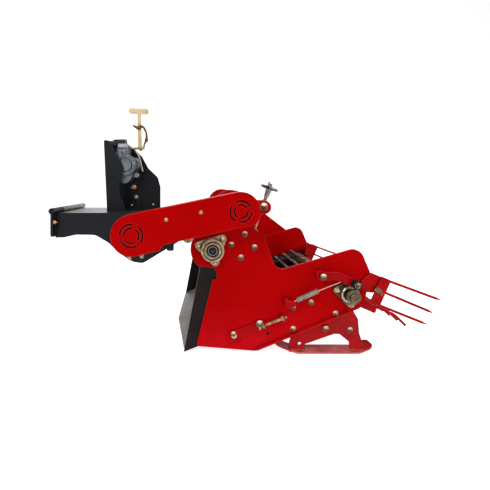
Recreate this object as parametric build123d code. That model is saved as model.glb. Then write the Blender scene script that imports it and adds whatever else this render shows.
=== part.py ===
from build123d import *
import math
import os

os.makedirs("parts", exist_ok=True)

# A one-row potato digger for a walking tractor. Layout frame: X runs rearwards from the
# front shaft, Y runs from the middle of the row to the far side, Z is height over the floor.
# Lengths are millimetres and angles are degrees.

# ---- driving dimensions ----
BODY_WIDTH = 480.0  # over the outer faces of the two side plates
SIDE_PLATE = 6.0
FRONT_SHAFT_HEIGHT = 319.0
PIVOT_X = 73.0  # cross shaft: the hitch turns about it
PIVOT_Z = 442.0
CASE_CENTRES = 311.0  # between the two shafts of the chain case
CASE_TILT = 12.5
WEB_SHAFT_X = 412.0
WEB_SHAFT_Z = 186.0
IDLER_X = 66.0
IDLER_Z = 58.0

SHAFT_RADIUS = 12.5
RUNNING_FIT = 0.06  # radial, shaft in a bearing
SEAT_FIT = 0.05  # radial, fixed pin or tube in its hole

CASE_OVERHANG = 85.0  # from the near side plate out to the chain case's face
CASE_DEPTH = 44.0
CASE_WALL = 3.0
CASE_FRONT_RADIUS = 58.0
CASE_REAR_RADIUS = 54.0

ARM_PLATE = 6.0
ARM_SPACING = 248.0  # between the middles of the two hitch arms
ARM_HALF_WIDTH = 51.0
SLEEVE_RADIUS = 24.0

HITCH_LENGTH = 529.0  # front shaft to the back of the hitch plate
DECK_REAR = 185.0  # front shaft to the deck's rear edge, forwards
DECK_TOP = 420.0
DECK_PLATE = 6.0
HITCH_PLATE = 8.0
HITCH_PLATE_WIDTH = 296.0
HITCH_PLATE_LOW = 340.0
HITCH_BAR_RADIUS = 10.5  # round bar along the plate's top edge
HITCH_BAR_Z = 427.0
HITCH_HOLE_RADIUS = 6.5
HITCH_HOLE_EDGE = 11.0  # from the plate's end to the holes
HITCH_HOLE_HIGH = 389.0
HITCH_HOLE_LOW = 348.0

LUG_X = 183.0  # trunnion of the depth screw
LUG_Z = 441.0
LUG_RADIUS = 22.0
LUG_GAP = 48.0
EAR_PLATE = 6.0
SCREW_LEAN = 20.5  # from upright, top to the rear
SCREW_RADIUS = 6.0
SCREW_REACH = 94.0  # trunnion to nut
WHEEL_HEIGHT = 69.0  # trunnion to handwheel
WHEEL_RADIUS = 32.0
TRUNNION_PIN = 6.0

CROSS_TUBE_X = 95.5
CROSS_TUBE_Z = 328.5
CROSS_TUBE_RADIUS = 24.0
CROSS_TUBE_WALL = 4.0
TUBE_FLANGE = 90.0
TUBE_FLANGE_PLATE = 8.0
TUBE_FLANGE_TURN = 38.7

KNIFE_PLATE = 8.0
SHARE_SLOPE = 22.0
SHARE_PLATE = 8.0
SHARE_TIP_X = -110.0
SHARE_POINT = 26.0  # how far the middle leads the corners, along the blade
SHARE_LENGTH = 145.0

WEB_ROD_RADIUS = 5.0
WEB_ROD_COUNT = 23
WEB_SIDE_GAP = 12.0  # rod end to side plate
WEB_BELT = 5.0
WEB_BELT_WIDTH = 34.0
WEB_BELT_EDGE = 12.0  # rod end to belt
DRUM_RADIUS = 18.0
IDLER_AXLE = 8.0

BEARING_FLANGE = 8.0
BEARING_HOUSING = 14.0  # how far the ring stands out of its flange
WEB_BEARING_HOUSING = 6.0

SKID_WIDTH = 45.0
SKID_PLATE = 5.0
SKID_BRACKET = 6.0

WING_PLATE = 5.0
RAKE_BAR = 5.0
RAKE_BAR_WIDTH = 30.0
RAKE_TOP_X = 538.0
TINE_LENGTH = 171.0
TINE_ROOT = 12.0  # how far a tine laps onto the bar
TINE_RADIUS = 4.0
TINE_SLOPE = -20.2
GRATE_TINES = 13
GRATE_SPACING = 36.0
GRATE_BAR = 14.0

GUARD_DEPTH = 50.0
GUARD_SHEET = 3.0

FOLLOWER_X = 323.0
FOLLOWER_Z = 245.0
FOLLOWER_OFFSET = 20.0  # plate to the lever
FOLLOWER_PLATE = 6.0
ROLLER_RADIUS = 13.0
ROLLER_X = 421.5
ROLLER_Z = 222.0
CAM_RADIUS = 20.0
CAM_NOSE = 12.0
CAM_GAP = 0.3

UPRIGHT_PLATE = 6.0
UPRIGHT_GAP = 98.0
GEARBOX_X = -307.0
GEARBOX_Z = 591.0
GEARBOX_RADIUS = 39.5
INPUT_Z = 668.0
INPUT_SHAFT = 13.0
COUPLING_RADIUS = 19.0
COUPLING_BORE = 9.0
COUPLING_DEPTH = 26.0  # of its socket
COUPLING_FRONT = -379.0
COUPLING_REAR = -348.0
BOSS_FRONT = -343.0
INPUT_HOUSING_RADIUS = 25.0
INPUT_HOUSING_REAR = -312.0

# ---- worked out from them ----
HITCH_FRONT = -HITCH_LENGTH
DECK_END = -DECK_REAR
NEAR_FACE = -BODY_WIDTH / 2
NEAR_INSIDE = NEAR_FACE + SIDE_PLATE
TILT = math.radians(CASE_TILT)
CASE_FRONT_X = PIVOT_X - CASE_CENTRES * math.cos(TILT)
CASE_FRONT_Z = PIVOT_Z - CASE_CENTRES * math.sin(TILT)
ARM_NEAR_Y = -ARM_SPACING / 2
LEAN = math.radians(SCREW_LEAN)
SCREW_DIRECTION = Vector(math.sin(LEAN), 0, math.cos(LEAN))
TRUNNION = Vector(LUG_X, ARM_NEAR_Y, LUG_Z)
NUT = TRUNNION - SCREW_DIRECTION * SCREW_REACH
CASE_FACE_Y = NEAR_FACE - CASE_OVERHANG
CASE_BACK_Y = CASE_FACE_Y + CASE_DEPTH

FRONT_REACH = HITCH_FRONT - HITCH_PLATE / 2 - HITCH_BAR_RADIUS
REAR_REACH = RAKE_TOP_X + (TINE_LENGTH - TINE_ROOT) * math.cos(math.radians(TINE_SLOPE)) + 0.5
ORIGIN_X = (FRONT_REACH + REAR_REACH) / 2
FAR_REACH = BODY_WIDTH / 2 + GUARD_SHEET + GUARD_DEPTH
ORIGIN_Y = (CASE_FACE_Y + FAR_REACH) / 2


# ---- helpers ----
def outline(rows):
    """A closed flat face from corners (x, z, corner radius)."""
    turns = []
    for index, (x, z, radius) in enumerate(rows):
        corner = Vector(x, z)
        before = (Vector(*rows[index - 1][:2]) - corner).normalized()
        after = (Vector(*rows[(index + 1) % len(rows)][:2]) - corner).normalized()
        if radius == 0:
            turns.append((corner, None, corner))
            continue
        half = math.radians(before.get_angle(after)) / 2
        reach = radius / math.tan(half)
        inward = (before + after).normalized()
        middle = corner + inward * (radius / math.sin(half) - radius)
        turns.append((corner + before * reach, middle, corner + after * reach))
    edges = []
    for index, (start, middle, finish) in enumerate(turns):
        if middle is not None:
            edges.append(ThreePointArc(start, middle, finish))
        edges.append(Line(finish, turns[(index + 1) % len(turns)][0]))
    return make_face(Wire(edges))


def disc(x, z, radius):
    return Pos(x, z) * Circle(radius)


def hull(*rows):
    """The flat band that wraps discs given as (x, z, radius)."""
    discs = Sketch() + [disc(*row) for row in rows]
    return make_hull(discs.edges())


def upright(face, y_low, thickness):
    """A flat outline stood up in XZ, from y_low towards +Y."""
    return Pos(0, y_low + thickness, 0) * extrude(Plane.XZ * face, thickness)


def bar_y(x, z, radius, y_low, y_high):
    """A round bar along Y."""
    return Pos(x, (y_low + y_high) / 2, z) * Rot(90, 0, 0) * Cylinder(radius, y_high - y_low)


def bar_between(start, finish, radius):
    """A round bar from one point to another."""
    start, finish = Vector(start), Vector(finish)
    run = finish - start
    place = Plane(origin=(start + finish) * 0.5, z_dir=run.normalized())
    return place * Cylinder(radius, run.length)


def far_side(part):
    return mirror(part, about=Plane.XZ)


def save(name, *solids):
    """Write one node, moved so that the origin is under the middle of the machine."""
    moved = [Pos(-ORIGIN_X, -ORIGIN_Y, 0) * solid for solid in solids]
    shape = moved[0] if len(moved) == 1 else Compound(children=moved)
    export_step(shape, f"parts/{name}.step")


# ---- side plates ----
# columns: x, z, corner radius
SIDE_OUTLINE = [
    (-48, 24, 8),
    (2, 226, 3),
    (14, 228, 3),
    (15.5, 262, 20),
    (-18, 265, 0),
    (-40, 268, 0),
    (-11, 379, 0),
    (108, 400, 25),
    (157, 361, 8),
    (197.5, 253, 30),
    (450, 326, 34),
    (482, 250, 8),
    (467, 165, 14),
    (450, 139, 14),
    (130, 9.5, 12),
]
FRONT_LOBE_RADIUS = 66.0
# columns: x, z, corner radius
LOBE_TRIM = [(-44, 268.5, 0), (-18, 265, 0), (14, 262, 0), (14, 240, 0), (-44, 240, 0)]
LIP_WIDTH = 10.0
LIP_PLATE = 4.0
LIP_START = 134.0
LIP_HEIGHT = 3.5  # above the plate's sloping edge
LIP_LENGTHS = {"near": 305.0, "far": 170.0}  # the far one stops at the drive guard
DRAIN_HOLE = (169, 63, 5)


def side_plate(lip_length):
    lobe = disc(0, FRONT_SHAFT_HEIGHT, FRONT_LOBE_RADIUS) - outline(LOBE_TRIM)
    face = outline(SIDE_OUTLINE) + lobe
    face -= disc(0, FRONT_SHAFT_HEIGHT, SHAFT_RADIUS + 6)
    face -= disc(WEB_SHAFT_X, WEB_SHAFT_Z, SHAFT_RADIUS + 6)
    face -= disc(IDLER_X, IDLER_Z, IDLER_AXLE + SEAT_FIT)
    face -= disc(*DRAIN_HOLE)
    plate = upright(face, NEAR_FACE, SIDE_PLATE)
    toe_x, toe_z, _ = SIDE_OUTLINE[-1]
    heel_x, heel_z, _ = SIDE_OUTLINE[-2]
    rise = math.atan2(heel_z - toe_z, heel_x - toe_x)
    start = Vector(toe_x, 0, toe_z + LIP_HEIGHT)
    start += Vector(math.cos(rise), 0, math.sin(rise)) * (LIP_START - toe_x)
    middle = start + Vector(math.cos(rise), 0, math.sin(rise)) * (lip_length / 2)
    lip = Box(lip_length, LIP_WIDTH, LIP_PLATE, align=(Align.CENTER, Align.MAX, Align.MIN))
    lip = Pos(middle.X, NEAR_FACE, middle.Z) * Rot(0, -math.degrees(rise), 0) * lip
    return plate + lip


save("side_plates", side_plate(LIP_LENGTHS["near"]), far_side(side_plate(LIP_LENGTHS["far"])))

# ---- knives and share ----
# columns: x, z, corner radius
KNIFE_OUTLINE = [
    (-86, 3, 0),
    (30, 49, 0),
    (30, FRONT_SHAFT_HEIGHT - 41, 10),
    (-34, FRONT_SHAFT_HEIGHT - 41, 10),
]
near_knife = upright(outline(KNIFE_OUTLINE), NEAR_INSIDE, KNIFE_PLATE)
save("side_knives", near_knife, far_side(near_knife))

share_half = -NEAR_INSIDE - KNIFE_PLATE
slope = math.radians(SHARE_SLOPE)
share_plane = Plane(
    origin=(SHARE_TIP_X, 0, 0),
    x_dir=(math.cos(slope), 0, math.sin(slope)),
    z_dir=(-math.sin(slope), 0, math.cos(slope)),
)
share_blank = Polyline(
    (0, 0),
    (SHARE_POINT, share_half),
    (SHARE_LENGTH, share_half),
    (SHARE_LENGTH, -share_half),
    (SHARE_POINT, -share_half),
    close=True,
)
share = extrude(make_face(share_blank), SHARE_PLATE)
cutting_edges = [
    edge
    for edge in share.edges().filter_by(GeomType.LINE)
    if edge.center().X < SHARE_POINT - 1 and abs(edge.center().Z - SHARE_PLATE) < 0.01
]
share = chamfer(cutting_edges, SHARE_PLATE - 1.5, 22.0)
save("share_blade", share_plane * share)

# ---- cross tube with its end flanges ----
tube_end = NEAR_INSIDE + TUBE_FLANGE_PLATE
tube = bar_y(CROSS_TUBE_X, CROSS_TUBE_Z, CROSS_TUBE_RADIUS, tube_end, -tube_end)
tube -= bar_y(CROSS_TUBE_X, CROSS_TUBE_Z, CROSS_TUBE_RADIUS - CROSS_TUBE_WALL, tube_end, -tube_end)
flange = Box(TUBE_FLANGE, TUBE_FLANGE_PLATE, TUBE_FLANGE)
flange = fillet(flange.edges().filter_by(Axis.Y), 8)
flange = Pos(CROSS_TUBE_X, NEAR_INSIDE + TUBE_FLANGE_PLATE / 2, CROSS_TUBE_Z) * (
    Rot(0, TUBE_FLANGE_TURN, 0) * flange
)
save("cross_tube", tube + flange + far_side(flange))

# ---- pivot ears: a clevis for each hitch arm ----
EAR_PIVOT_RADIUS = 57.0
EAR_FOOT_RADIUS = 36.0
ear_body = hull(
    (PIVOT_X, PIVOT_Z, EAR_PIVOT_RADIUS), (CROSS_TUBE_X, CROSS_TUBE_Z, EAR_FOOT_RADIUS)
)
ear_holes = disc(PIVOT_X, PIVOT_Z, SLEEVE_RADIUS + RUNNING_FIT)
ear_holes += disc(CROSS_TUBE_X, CROSS_TUBE_Z, CROSS_TUBE_RADIUS + SEAT_FIT)
lug_arm = hull((PIVOT_X, PIVOT_Z, LUG_RADIUS), (LUG_X, LUG_Z, LUG_RADIUS))
# columns: x, z, corner radius
lug_web = outline(
    [
        (110, 450, 0),
        (LUG_X, LUG_Z, 0),
        (LUG_X - 17, LUG_Z - 41, 6),
        (118, 340, 0),
    ]
)
lug_hole = disc(LUG_X, LUG_Z, TRUNNION_PIN + RUNNING_FIT)
near_ear = ear_body + lug_arm + lug_web - ear_holes - lug_hole
far_ear = ear_body - ear_holes
ear_places = (
    ARM_NEAR_Y - LUG_GAP / 2 - EAR_PLATE,
    ARM_NEAR_Y + LUG_GAP / 2,
)
ears = [upright(near_ear, place, EAR_PLATE) for place in ear_places]
ears += [far_side(upright(far_ear, place, EAR_PLATE)) for place in ear_places]
save("pivot_ears", *ears)


# ---- bearings: three-bolt flanges with round housings ----
# columns: bolt's direction, its distance as a share of the bolt circle
BEARING_BOLTS = [(161, 1.0), (48, 1.06), (-77, 0.9)]


def flange_bearing(x, z, bolt_circle, boss_radius, ring_radius, stand_out):
    corners = []
    for turn, share in BEARING_BOLTS:
        angle = math.radians(turn)
        reach = bolt_circle * share
        corners.append((reach * math.cos(angle), reach * math.sin(angle), boss_radius))
    base = upright(hull(*corners), -BEARING_FLANGE, BEARING_FLANGE)
    face_y = -BEARING_FLANGE - stand_out
    ring = bar_y(0, 0, ring_radius, face_y, 0)
    ring -= bar_y(0, 0, ring_radius - 6, face_y, face_y + 4)
    ring += bar_y(0, 0, SHAFT_RADIUS + 6, face_y + 1, 0)
    body = base + ring
    body -= bar_y(0, 0, SHAFT_RADIUS + RUNNING_FIT, face_y, 1)
    return Pos(x, NEAR_FACE, z) * body


front_bearing = flange_bearing(0, FRONT_SHAFT_HEIGHT, 44, 11, 34.5, BEARING_HOUSING)
save("front_bearings", front_bearing, far_side(front_bearing))
web_bearing = flange_bearing(WEB_SHAFT_X, WEB_SHAFT_Z, 37, 10, 27, WEB_BEARING_HOUSING)
save("web_bearings", web_bearing, far_side(web_bearing))

shaft_end = NEAR_FACE - BEARING_FLANGE - BEARING_HOUSING + 3
front_shaft = bar_y(0, FRONT_SHAFT_HEIGHT, SHAFT_RADIUS, shaft_end, -shaft_end)
for collar_y in (NEAR_INSIDE + 20, -NEAR_INSIDE - 20):
    front_shaft += bar_y(0, FRONT_SHAFT_HEIGHT, SHAFT_RADIUS + 7, collar_y - 8, collar_y + 8)
save("front_shaft", front_shaft)

# ---- rod web ----
WEB_PATH_RADIUS = DRUM_RADIUS + WEB_BELT + WEB_ROD_RADIUS
web_run = Vector(WEB_SHAFT_X - IDLER_X, 0, WEB_SHAFT_Z - IDLER_Z)
web_length = 2 * web_run.length + 2 * math.pi * WEB_PATH_RADIUS
web_along = web_run.normalized()
web_up = Vector(-web_along.Z, 0, web_along.X)


def web_point(distance):
    """A point on the rods' path, measured from the start of the upper run."""
    idler = Vector(IDLER_X, 0, IDLER_Z)
    drive = Vector(WEB_SHAFT_X, 0, WEB_SHAFT_Z)
    straight = web_run.length
    turn = math.pi * WEB_PATH_RADIUS
    if distance < straight:
        return idler + web_up * WEB_PATH_RADIUS + web_along * distance
    distance -= straight
    if distance < turn:
        angle = distance / WEB_PATH_RADIUS
        return drive + (web_up * math.cos(angle) + web_along * math.sin(angle)) * WEB_PATH_RADIUS
    distance -= turn
    if distance < straight:
        return drive - web_up * WEB_PATH_RADIUS - web_along * distance
    distance -= straight
    angle = distance / WEB_PATH_RADIUS
    return idler - (web_up * math.cos(angle) + web_along * math.sin(angle)) * WEB_PATH_RADIUS


belt_face = hull(
    (IDLER_X, IDLER_Z, DRUM_RADIUS + WEB_BELT), (WEB_SHAFT_X, WEB_SHAFT_Z, DRUM_RADIUS + WEB_BELT)
) - hull((IDLER_X, IDLER_Z, DRUM_RADIUS), (WEB_SHAFT_X, WEB_SHAFT_Z, DRUM_RADIUS))
rod_half = -NEAR_INSIDE - WEB_SIDE_GAP
belt_middle = rod_half - WEB_BELT_EDGE - WEB_BELT_WIDTH / 2
belt_places = (-belt_middle, belt_middle)
web_solids = [upright(belt_face, place - WEB_BELT_WIDTH / 2, WEB_BELT_WIDTH) for place in belt_places]
for count in range(WEB_ROD_COUNT):
    place = web_point((count + 0.5) * web_length / WEB_ROD_COUNT)
    web_solids.append(bar_y(place.X, place.Z, WEB_ROD_RADIUS + 0.4, -rod_half, rod_half))
save("rod_web", Part() + web_solids)

drum_gap = SEAT_FIT
cam_low = NEAR_FACE - FOLLOWER_OFFSET - FOLLOWER_PLATE - 12
web_shaft_near = cam_low - 4
web_shaft_far = -NEAR_FACE + BEARING_FLANGE + WEB_BEARING_HOUSING + 18
web_shaft = bar_y(WEB_SHAFT_X, WEB_SHAFT_Z, SHAFT_RADIUS, web_shaft_near, web_shaft_far)
for place in belt_places:
    half = WEB_BELT_WIDTH / 2 + 4
    web_shaft += bar_y(WEB_SHAFT_X, WEB_SHAFT_Z, DRUM_RADIUS - drum_gap, place - half, place + half)
save("web_drive_shaft", web_shaft)

strip_outer = NEAR_FACE - 5.0
idler = bar_y(IDLER_X, IDLER_Z, IDLER_AXLE, strip_outer, -strip_outer)
for place in belt_places:
    half = WEB_BELT_WIDTH / 2 + 4
    idler += bar_y(IDLER_X, IDLER_Z, DRUM_RADIUS - drum_gap, place - half, place + half)
save("web_idler", idler)

# guide rails under the rod ends, bolted inside the side plates
RAIL_LOW = 9.0
RAIL_START = 150.0
RAIL_END = 290.0
RAIL_DEPTH = WEB_SIDE_GAP + WEB_BELT_EDGE - 1.0
rail_high = WEB_PATH_RADIUS - WEB_ROD_RADIUS - 0.8
rail_plane = Plane(
    origin=(IDLER_X, NEAR_INSIDE, IDLER_Z),
    x_dir=web_along,
    z_dir=web_up,
)
rail = Box(
    RAIL_END - RAIL_START,
    RAIL_DEPTH,
    rail_high - RAIL_LOW,
    align=(Align.MIN, Align.MIN, Align.MIN),
)
near_rail = rail_plane * Pos(RAIL_START, 0, RAIL_LOW) * rail
save("web_guide_rails", near_rail, far_side(near_rail))

# ---- idler strips and their tension screws ----
STRIP_WIDTH = 25.0
STRIP_PLATE = 5.0
STRIP_SLOPE = 21.0
STRIP_LENGTH = 118.0
TAB_PLATE = 4.0
TAB_SIZE = 20.0
SCREW_TAB_GAP = 62.0
TENSION_ROD = 4.0
strip_place = Pos(IDLER_X, NEAR_FACE, IDLER_Z) * Rot(0, -STRIP_SLOPE, 0)
strip = Box(STRIP_LENGTH, STRIP_PLATE, STRIP_WIDTH, align=(Align.MIN, Align.MAX, Align.CENTER))
strip = fillet(strip.edges().filter_by(Axis.Y), 6)
strip = Pos(-18, 0, 0) * strip
strip_end = STRIP_LENGTH - 18
tab = Box(TAB_PLATE, TAB_SIZE, TAB_SIZE, align=(Align.MAX, Align.MAX, Align.CENTER))
strip += Pos(strip_end, 0, 0) * tab
strip -= bar_y(0, 0, IDLER_AXLE + SEAT_FIT, -STRIP_PLATE, 0)
rod_hole = Pos(strip_end, -12, 0) * Rot(0, 90, 0) * Cylinder(TENSION_ROD + SEAT_FIT, 20)
strip -= rod_hole
near_strip = strip_place * strip
save("idler_strips", near_strip, far_side(near_strip))

screw_tab = Pos(strip_end + SCREW_TAB_GAP, 0, 0) * tab
screw_tab -= Pos(SCREW_TAB_GAP, 0, 0) * rod_hole
near_tab = strip_place * screw_tab
save("tension_tabs", near_tab, far_side(near_tab))

ROD_HEAD = 22.0  # from the strip's tab to the rod's end
tension_rod = Pos(strip_end + (SCREW_TAB_GAP - ROD_HEAD) / 2 + 3, -12, 0) * (
    Rot(0, 90, 0) * Cylinder(TENSION_ROD, SCREW_TAB_GAP + ROD_HEAD + 6)
)
for nut_x in (
    strip_end - ROD_HEAD + 3,
    strip_end - TAB_PLATE - 3,
    strip_end + SCREW_TAB_GAP - TAB_PLATE - 3,
):
    nut = extrude(RegularPolygon(7.5, 6), 6)
    tension_rod += Pos(nut_x - 3, -12, 0) * Rot(0, 90, 0) * nut
near_rod = strip_place * tension_rod
save("tension_screws", near_rod, far_side(near_rod))

# ---- skids ----
# columns: x, z, corner radius
SKID_PROFILE = [
    (196, 24, 0),
    (260, 0, 30),
    (450, 0, 40),
    (496, 20, 0),
    (494, 25, 0),
    (449, SKID_PLATE, 35),
    (261, SKID_PLATE, 25),
    (194, 29, 0),
]
SKID_BRACKET_OUTLINE = [
    (237, 3, 0),
    (236, 18, 0),
    (241, 40, 0),
    (243, 78, 8),
    (262, 92, 10),
    (392, 146, 10),
    (426, 142, 10),
    (449, 104, 10),
    (452, 62, 10),
    (462, 30, 10),
    (465, 8, 0),
    (440, 3, 0),
    (427, 3, 0),
    (422, 33, 6),
    (391, 58, 14),
    (375, 58, 14),
    (283, 26, 8),
    (280, 3, 0),
]
SKID_HOLES = [(269.5, 28, 5.5), (421, 93, 4)]
runner = upright(outline(SKID_PROFILE), NEAR_FACE, SKID_WIDTH)
SKID_FRONT, SKID_REAR = 194, 496
runner_plan = Pos((SKID_FRONT + SKID_REAR) / 2, NEAR_FACE + SKID_WIDTH / 2) * (
    RectangleRounded(SKID_REAR - SKID_FRONT, SKID_WIDTH, 18)
)
runner &= extrude(runner_plan, 60)
bracket_face = outline(SKID_BRACKET_OUTLINE)
for row in SKID_HOLES:
    bracket_face -= disc(*row)
near_skid = runner + upright(bracket_face, NEAR_INSIDE, SKID_BRACKET)
save("skids", near_skid, far_side(near_skid))

# ---- rear wings, rakes and grate ----
WING_OUTLINE = [
    (453, 226, 0),
    (484, 249, 6),
    (536, 226, 0),
    (521, 190, 0),
    (494, 191, 6),
    (484, 188.5, 6),
    (467, 190.5, 6),
    (456, 196, 6),
]
near_wing = upright(outline(WING_OUTLINE), NEAR_FACE - WING_PLATE, WING_PLATE)
save("rear_wings", near_wing, far_side(near_wing))

RAKE_TOP = Vector(RAKE_TOP_X, 0, 223.5)  # the bar's rear edge
RAKE_FOOT = Vector(RAKE_TOP_X - 32, 0, 151.5)
# columns: share of the bar's length from its top, tine length, tine slope
RAKE_TINES = [(0.0, TINE_LENGTH, TINE_SLOPE), (0.47, 165, -22.8), (1.0, 161, -21.8)]
TINE_TIP = 14.0
rake_y = NEAR_FACE - WING_PLATE - RAKE_BAR
bar_run = RAKE_FOOT - RAKE_TOP
bar_along = bar_run.normalized()
bar_across = Vector(bar_along.Z, 0, -bar_along.X)
bar_corners = [
    RAKE_TOP - bar_along * 4,
    RAKE_FOOT + bar_along * 2,
    RAKE_FOOT + bar_along * 2 + bar_across * RAKE_BAR_WIDTH,
    RAKE_TOP - bar_along * 4 + bar_across * RAKE_BAR_WIDTH,
]
rake_face = outline([(corner.X, corner.Z, 2) for corner in bar_corners])
rake = upright(rake_face, rake_y, RAKE_BAR)
for share_down, length, tine_slope in RAKE_TINES:
    tine_angle = math.radians(tine_slope)
    tine_along = Vector(math.cos(tine_angle), 0, math.sin(tine_angle))
    edge_point = RAKE_TOP + bar_run * share_down + Vector(0, rake_y + RAKE_BAR - TINE_RADIUS - 0.5, 0)
    root_point = edge_point - tine_along * TINE_ROOT
    tip_start = root_point + tine_along * (length - TINE_TIP)
    rake += bar_between(root_point, tip_start, TINE_RADIUS)
    tip_plane = Plane(origin=tip_start + tine_along * (TINE_TIP / 2), z_dir=tine_along)
    rake += tip_plane * Cone(TINE_RADIUS, 1.5, TINE_TIP)
save("side_rakes", rake, far_side(rake))

GRATE_X = 497.0
GRATE_Z = 131.0
grate_bar = Rot(0, -TINE_SLOPE, 0) * Box(GRATE_BAR, -2 * NEAR_INSIDE, GRATE_BAR)
grate = Pos(GRATE_X, 0, GRATE_Z) * grate_bar
GRATE_END_OUTLINE = [
    (424, 172, 8),
    (452, 172, 8),
    (506, 140, 6),
    (502, 120, 6),
    (452, 142, 6),
    (424, 146, 8),
]
GRATE_TINE_PATH = [(484, 146.5), (572, 110), (606, 77)]
GRATE_END_PLATE = 5.0
end_plate = upright(outline(GRATE_END_OUTLINE), NEAR_INSIDE, GRATE_END_PLATE)
grate += [end_plate, far_side(end_plate)]
tine_line = Plane.XZ * FilletPolyline(*GRATE_TINE_PATH, radius=50)
tine_start = Plane(origin=tine_line @ 0, z_dir=tine_line % 0)
grate_tine = sweep(tine_start * Circle(TINE_RADIUS), path=tine_line)
for count in range(GRATE_TINES):
    place = (count - (GRATE_TINES - 1) / 2) * GRATE_SPACING
    grate += Pos(0, place, 0) * grate_tine
save("rear_grate", grate)

# ---- far drive guard ----
GUARD_HEEL_X = 52.0  # elbow of the guard, rearward of the cross shaft
GUARD_RADII = (40.0, 56.0, 80.0)
guard_rows = [
    (PIVOT_X, PIVOT_Z, GUARD_RADII[0]),
    (PIVOT_X + GUARD_HEEL_X, PIVOT_Z - 4, GUARD_RADII[1]),
    (WEB_SHAFT_X, WEB_SHAFT_Z, GUARD_RADII[2]),
]
guard_face = hull(*guard_rows)
guard_inner = hull(*[(x, z, radius - GUARD_SHEET) for x, z, radius in guard_rows])
far_face = -NEAR_FACE
wing_room = Pos(WEB_SHAFT_X + 38, far_face, WEB_SHAFT_Z) * Box(
    100, WING_PLATE + RAKE_BAR + 1, 160, align=(Align.MIN, Align.MIN, Align.CENTER)
)
guard_sheet_face = guard_face - disc(WEB_SHAFT_X, WEB_SHAFT_Z, 52)
guard_sheet_face -= disc(PIVOT_X, PIVOT_Z, SHAFT_RADIUS + 6)
guard_back = upright(guard_sheet_face, far_face, GUARD_SHEET) - wing_room
save("far_guard_back", guard_back)
guard = upright(guard_face, far_face + GUARD_SHEET, GUARD_DEPTH)
guard -= upright(guard_inner, far_face + GUARD_SHEET, GUARD_DEPTH - GUARD_SHEET)
guard -= wing_room
save("far_drive_guard", guard)

# ---- cam, follower and return spring ----
cam_reach = math.hypot(ROLLER_X - WEB_SHAFT_X, ROLLER_Z - WEB_SHAFT_Z) - ROLLER_RADIUS - CAM_GAP
cam_turn = math.atan2(ROLLER_Z - WEB_SHAFT_Z, ROLLER_X - WEB_SHAFT_X)
cam_throw = cam_reach - CAM_NOSE
cam_face = hull(
    (WEB_SHAFT_X, WEB_SHAFT_Z, CAM_RADIUS),
    (WEB_SHAFT_X + cam_throw * math.cos(cam_turn), WEB_SHAFT_Z + cam_throw * math.sin(cam_turn), CAM_NOSE),
)
cam_face -= disc(WEB_SHAFT_X, WEB_SHAFT_Z, SHAFT_RADIUS + SEAT_FIT)
save("shaker_cam", upright(cam_face, cam_low, 8))

lever_y = NEAR_FACE - FOLLOWER_OFFSET - FOLLOWER_PLATE
follower_post = bar_y(FOLLOWER_X, FOLLOWER_Z, 12, NEAR_FACE - FOLLOWER_OFFSET, NEAR_FACE)
follower_post += bar_y(FOLLOWER_X, FOLLOWER_Z, 6, lever_y - 8, NEAR_FACE)
save("follower_post", follower_post)
# columns: x, z, corner radius
LEVER_OUTLINE = [
    (FOLLOWER_X - 12, FOLLOWER_Z + 10, 8),
    (FOLLOWER_X + 48, FOLLOWER_Z + 12, 20),
    (ROLLER_X + 4, ROLLER_Z + 13, 10),
    (ROLLER_X + 12, ROLLER_Z - 4, 8),
    (ROLLER_X - 4, ROLLER_Z - 12, 8),
    (FOLLOWER_X + 46, FOLLOWER_Z - 12, 20),
    (FOLLOWER_X - 8, FOLLOWER_Z - 12, 8),
]
lever_face = outline(LEVER_OUTLINE) + disc(FOLLOWER_X, FOLLOWER_Z, 14)
lever_face -= disc(FOLLOWER_X, FOLLOWER_Z, 6 + RUNNING_FIT)
save("follower_lever", upright(lever_face, lever_y, FOLLOWER_PLATE))
roller = bar_y(ROLLER_X, ROLLER_Z, ROLLER_RADIUS, lever_y - 14, lever_y - 2)
roller += bar_y(ROLLER_X, ROLLER_Z, 7, lever_y - 18, lever_y)
save("follower_roller", roller)

SPRING_Y = NEAR_FACE - FOLLOWER_OFFSET + 1.8
SPRING_START = Vector(251, SPRING_Y, 169)
SPRING_END = Vector(319, SPRING_Y, 195)
SPRING_RADIUS = 7.0
SPRING_WIRE = 1.5
HOOK_START = Vector(240, SPRING_Y, 164.8)
HOOK_END = Vector(394, SPRING_Y, 223.7)
spring = bar_between(SPRING_START, SPRING_END, SPRING_RADIUS)
spring += bar_between(HOOK_START, SPRING_START, SPRING_WIRE)
spring += bar_between(SPRING_END, HOOK_END, SPRING_WIRE)
save("return_spring", spring)
# columns: x, z, corner radius
HOOK_OUTLINE = [(214, 174, 3), (224, 174, 4), (234, 166, 6), (246, 170, 3), (246, 154, 3), (222, 148, 6)]
hook_face = outline(HOOK_OUTLINE)
hook = upright(hook_face, SPRING_Y - 5, NEAR_FACE - SPRING_Y + 5)
hook -= bar_between(HOOK_START, SPRING_START, SPRING_WIRE + SEAT_FIT)
save("spring_anchor", hook)

# ---- hitch arms ----
arm_along = Vector(math.cos(TILT), math.sin(TILT))
arm_up = Vector(-math.sin(TILT), math.cos(TILT))
arm_top = Vector(PIVOT_X, PIVOT_Z) + arm_up * 32 - arm_along * 30
arm_low = Vector(PIVOT_X, PIVOT_Z) - arm_up * ARM_HALF_WIDTH
arm_knee = arm_low - arm_along * 116
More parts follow.
